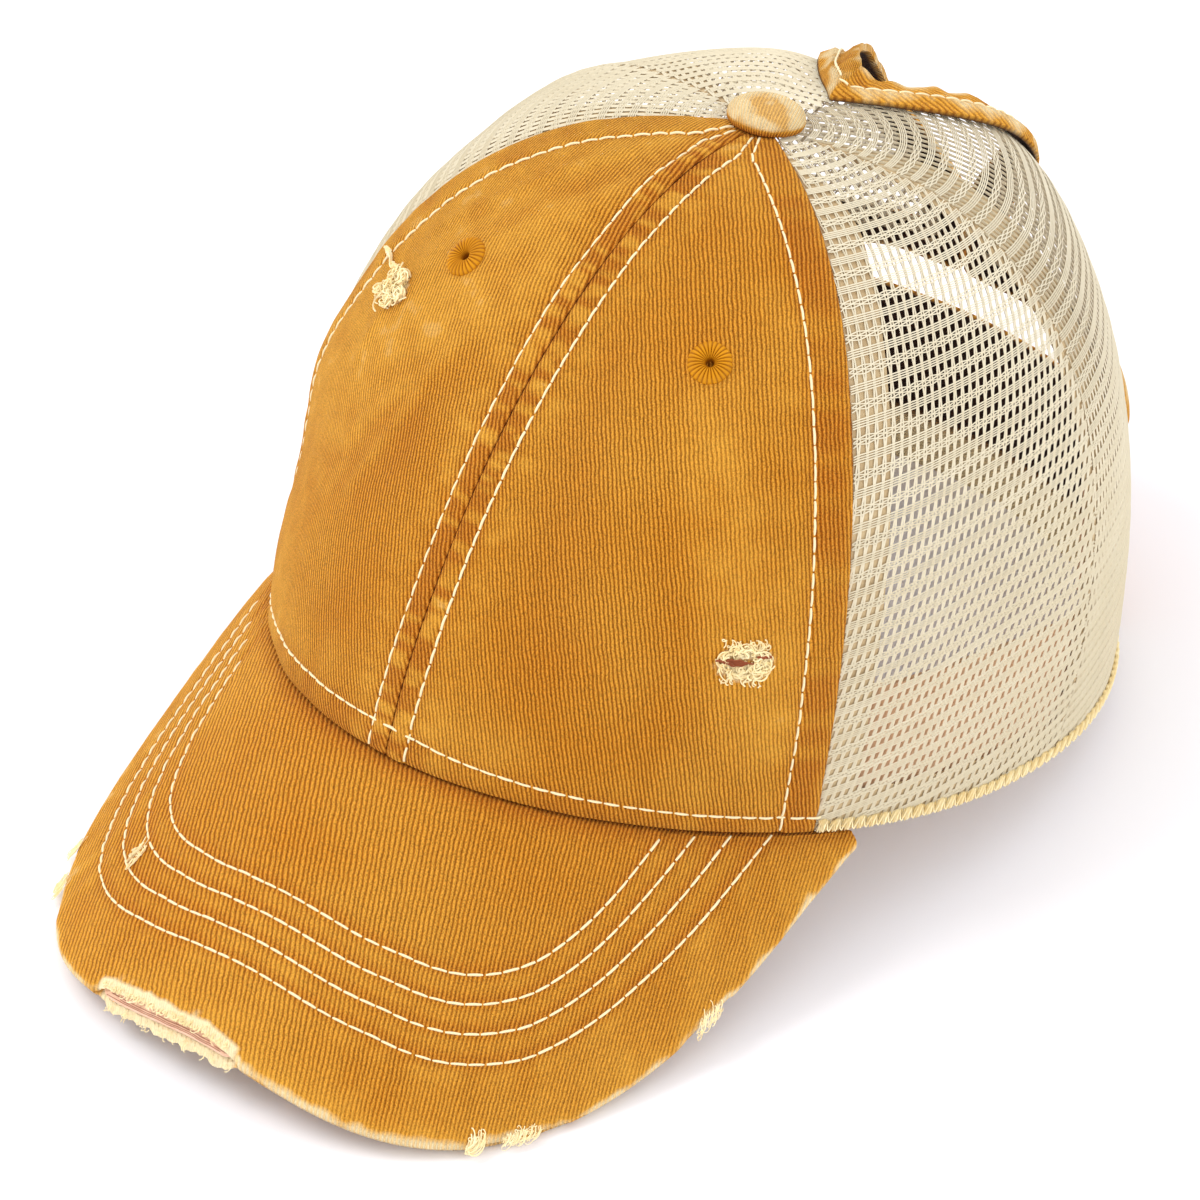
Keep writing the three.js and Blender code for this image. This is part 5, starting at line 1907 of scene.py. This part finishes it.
def add_camera():
    azimuth, elevation, roll = map(math.radians, (CAMERA_AZIMUTH, CAMERA_ELEVATION, CAMERA_ROLL))
    level = np.array((math.cos(azimuth), math.sin(azimuth), 0))
    back = np.array((math.sin(azimuth) * math.cos(elevation),
                     -math.cos(azimuth) * math.cos(elevation), math.sin(elevation)))
    rising = np.cross(back, level)
    right = math.cos(roll) * level + math.sin(roll) * rising
    up = np.cross(back, right)
    camera = bpy.data.cameras.new("camera")
    camera.lens = CAMERA_LENS
    camera.sensor_width = 36
    camera.clip_start = 0.05
    camera.clip_end = 20
    obj = add_object("camera", camera)
    rows = [[*axes, shift] for axes, shift in zip(np.stack((right, up, back), -1), CAMERA_PLACE)]
    obj.matrix_world = Matrix([*rows, [0, 0, 0, 1]])
    bpy.context.scene.camera = obj


def add_floor(colour):
    material, _, shader = new_material("Floor", 0.9)
    shader.inputs["Base Color"].default_value = (*colour, 1)
    mesh = bpy.data.meshes.new("floor")
    corners = np.array(((-1, -1, 0), (1, -1, 0), (1, 1, 0), (-1, 1, 0))) * FLOOR_HALF_WIDTH
    mesh.from_pydata(corners.tolist(), [], [(0, 1, 2, 3)])
    mesh.materials.append(material)
    floor = add_object("floor", mesh)


# Operators


class CAP_OT_materials(bpy.types.Operator):
    """Make the cap's cloth, thread and net materials"""

    bl_idname = "cap.materials"
    bl_label = "Make Materials"

    def execute(self, context):
        make_materials(context.scene)
        return {"FINISHED"}


class CAP_OT_front(bpy.types.Operator):
    """Make the two twill front panels"""

    bl_idname = "cap.front"
    bl_label = "Add Front Panels"

    def execute(self, context):
        for side in SIDES:
            front_cloth(side)
        return {"FINISHED"}


class CAP_OT_net(bpy.types.Operator):
    """Make the four net panels and the strips behind their seams"""

    bl_idname = "cap.net"
    bl_label = "Add Net Panels"

    def execute(self, context):
        tree = strand_tree()
        for side in SIDES:
            for kind in NET_PANELS:
                net_panel(side, kind, tree, context.scene.cap_net)
            net_strips(side)
        inputs = {"Thickness": context.scene.cap_net.thread, "Sides": 4}
        grow("net_hem", tree, hem_threads(), inputs, "Loose Thread")
        return {"FINISHED"}


class CAP_OT_peak(bpy.types.Operator):
    """Make the peak's two cloths and its board, with the worn edge"""

    bl_idname = "cap.peak"
    bl_label = "Add Peak"

    def execute(self, context):
        peak_pieces()
        return {"FINISHED"}


class CAP_OT_opening(bpy.types.Operator):
    """Make the sweatband, the opening's binding and the closing strap"""

    bl_idname = "cap.opening"
    bl_label = "Add Band, Binding and Strap"

    def execute(self, context):
        sweatband()
        opening_binding()
        closing_strap()
        return {"FINISHED"}


class CAP_OT_trim(bpy.types.Operator):
    """Make the button and the two embroidered eyelets"""

    bl_idname = "cap.trim"
    bl_label = "Add Button and Eyelets"

    def execute(self, context):
        top_button()
        for side in SIDES:
            eyelet(side)
        return {"FINISHED"}


class CAP_OT_stitches(bpy.types.Operator):
    """Sew the rows of stitches"""

    bl_idname = "cap.stitches"
    bl_label = "Add Stitches"

    def execute(self, context):
        tree = stitch_tree()
        settings = context.scene.cap_thread
        inputs = {"Length": settings.stitch_length, "Gap": settings.stitch_gap,
                  "Thickness": settings.thickness, "Seed": 5}
        for name, rows in (("front", front_rows()), ("peak", peak_stitch_rows()),
                           ("binding", binding_stitches())):
            grow(f"stitches_{name}", tree, rows, inputs, "Thread")
        return {"FINISHED"}


class CAP_OT_frays(bpy.types.Operator):
    """Add the loose threads of the worn places"""

    bl_idname = "cap.frays"
    bl_label = "Add Loose Threads"

    def execute(self, context):
        tree = bpy.data.node_groups["Strands"]
        inputs = {"Thickness": FRAY_THICKNESS, "Sides": 3}
        for name, paths, material in (("frays_front", front_frays(), "Loose Thread"),
                                      ("frays_peak", peak_frays(), "Loose Thread"),
                                      ("slit_front_left", slit_shade_threads(), "Slit"),
                                      ("layers_peak_board", board_lines(), "Slit")):
            grow(name, tree, paths, inputs, material)
        return {"FINISHED"}


class CAP_OT_stage(bpy.types.Operator):
    """Add the floor, the soft lights and the camera"""

    bl_idname = "cap.stage"
    bl_label = "Add Stage"

    def execute(self, context):
        settings = context.scene.cap_stage
        add_floor(settings.floor_colour)
        for name, (place, size) in LIGHTS.items():
            add_area_light(name, place, size, getattr(settings, f"{name}_power"))
        world = bpy.data.worlds.new("surroundings")
        world.use_nodes = True
        background = world.node_tree.nodes["Background"].inputs
        background["Color"].default_value = (1, 1, 1, 1)
        background["Strength"].default_value = settings.sky
        context.scene.world = world
        context.scene.view_settings.view_transform = "Standard"
        add_camera()
        return {"FINISHED"}


class CAP_PT_panel(bpy.types.Panel):
    """Lists the steps that dress the cap"""

    bl_idname = "CAP_PT_panel"
    bl_label = "Ponytail Cap"
    bl_space_type = "VIEW_3D"
    bl_region_type = "UI"
    bl_category = "Cap"

    def draw(self, context):
        for name in ("cap_twill", "cap_net", "cap_thread", "cap_stage"):
            settings = getattr(context.scene, name)
            for key in settings.__annotations__:
                self.layout.prop(settings, key)
        for operator in OPERATORS:
            self.layout.operator(operator.bl_idname)


SETTINGS = {
    "cap_twill": CapTwillSettings,
    "cap_net": CapNetSettings,
    "cap_thread": CapThreadSettings,
    "cap_stage": CapStageSettings,
}
OPERATORS = (CAP_OT_materials, CAP_OT_front, CAP_OT_net, CAP_OT_peak, CAP_OT_opening, CAP_OT_trim,
             CAP_OT_stitches, CAP_OT_frays, CAP_OT_stage)


def register():
    for settings in SETTINGS.values():
        bpy.utils.register_class(settings)
    for name, settings in SETTINGS.items():
        setattr(bpy.types.Scene, name, PointerProperty(type=settings))
    for operator in OPERATORS:
        bpy.utils.register_class(operator)
    bpy.utils.register_class(CAP_PT_panel)


def unregister():
    bpy.utils.unregister_class(CAP_PT_panel)
    for operator in reversed(OPERATORS):
        bpy.utils.unregister_class(operator)
    for name in SETTINGS:
        delattr(bpy.types.Scene, name)
    for settings in SETTINGS.values():
        bpy.utils.unregister_class(settings)


def main():
    register()
    bpy.ops.cap.materials()
    bpy.ops.cap.front()
    bpy.ops.cap.net()
    bpy.ops.cap.peak()
    bpy.ops.cap.opening()
    bpy.ops.cap.trim()
    bpy.ops.cap.stitches()
    bpy.ops.cap.frays()
    bpy.ops.cap.stage()


if __name__ == "__main__":
    main()
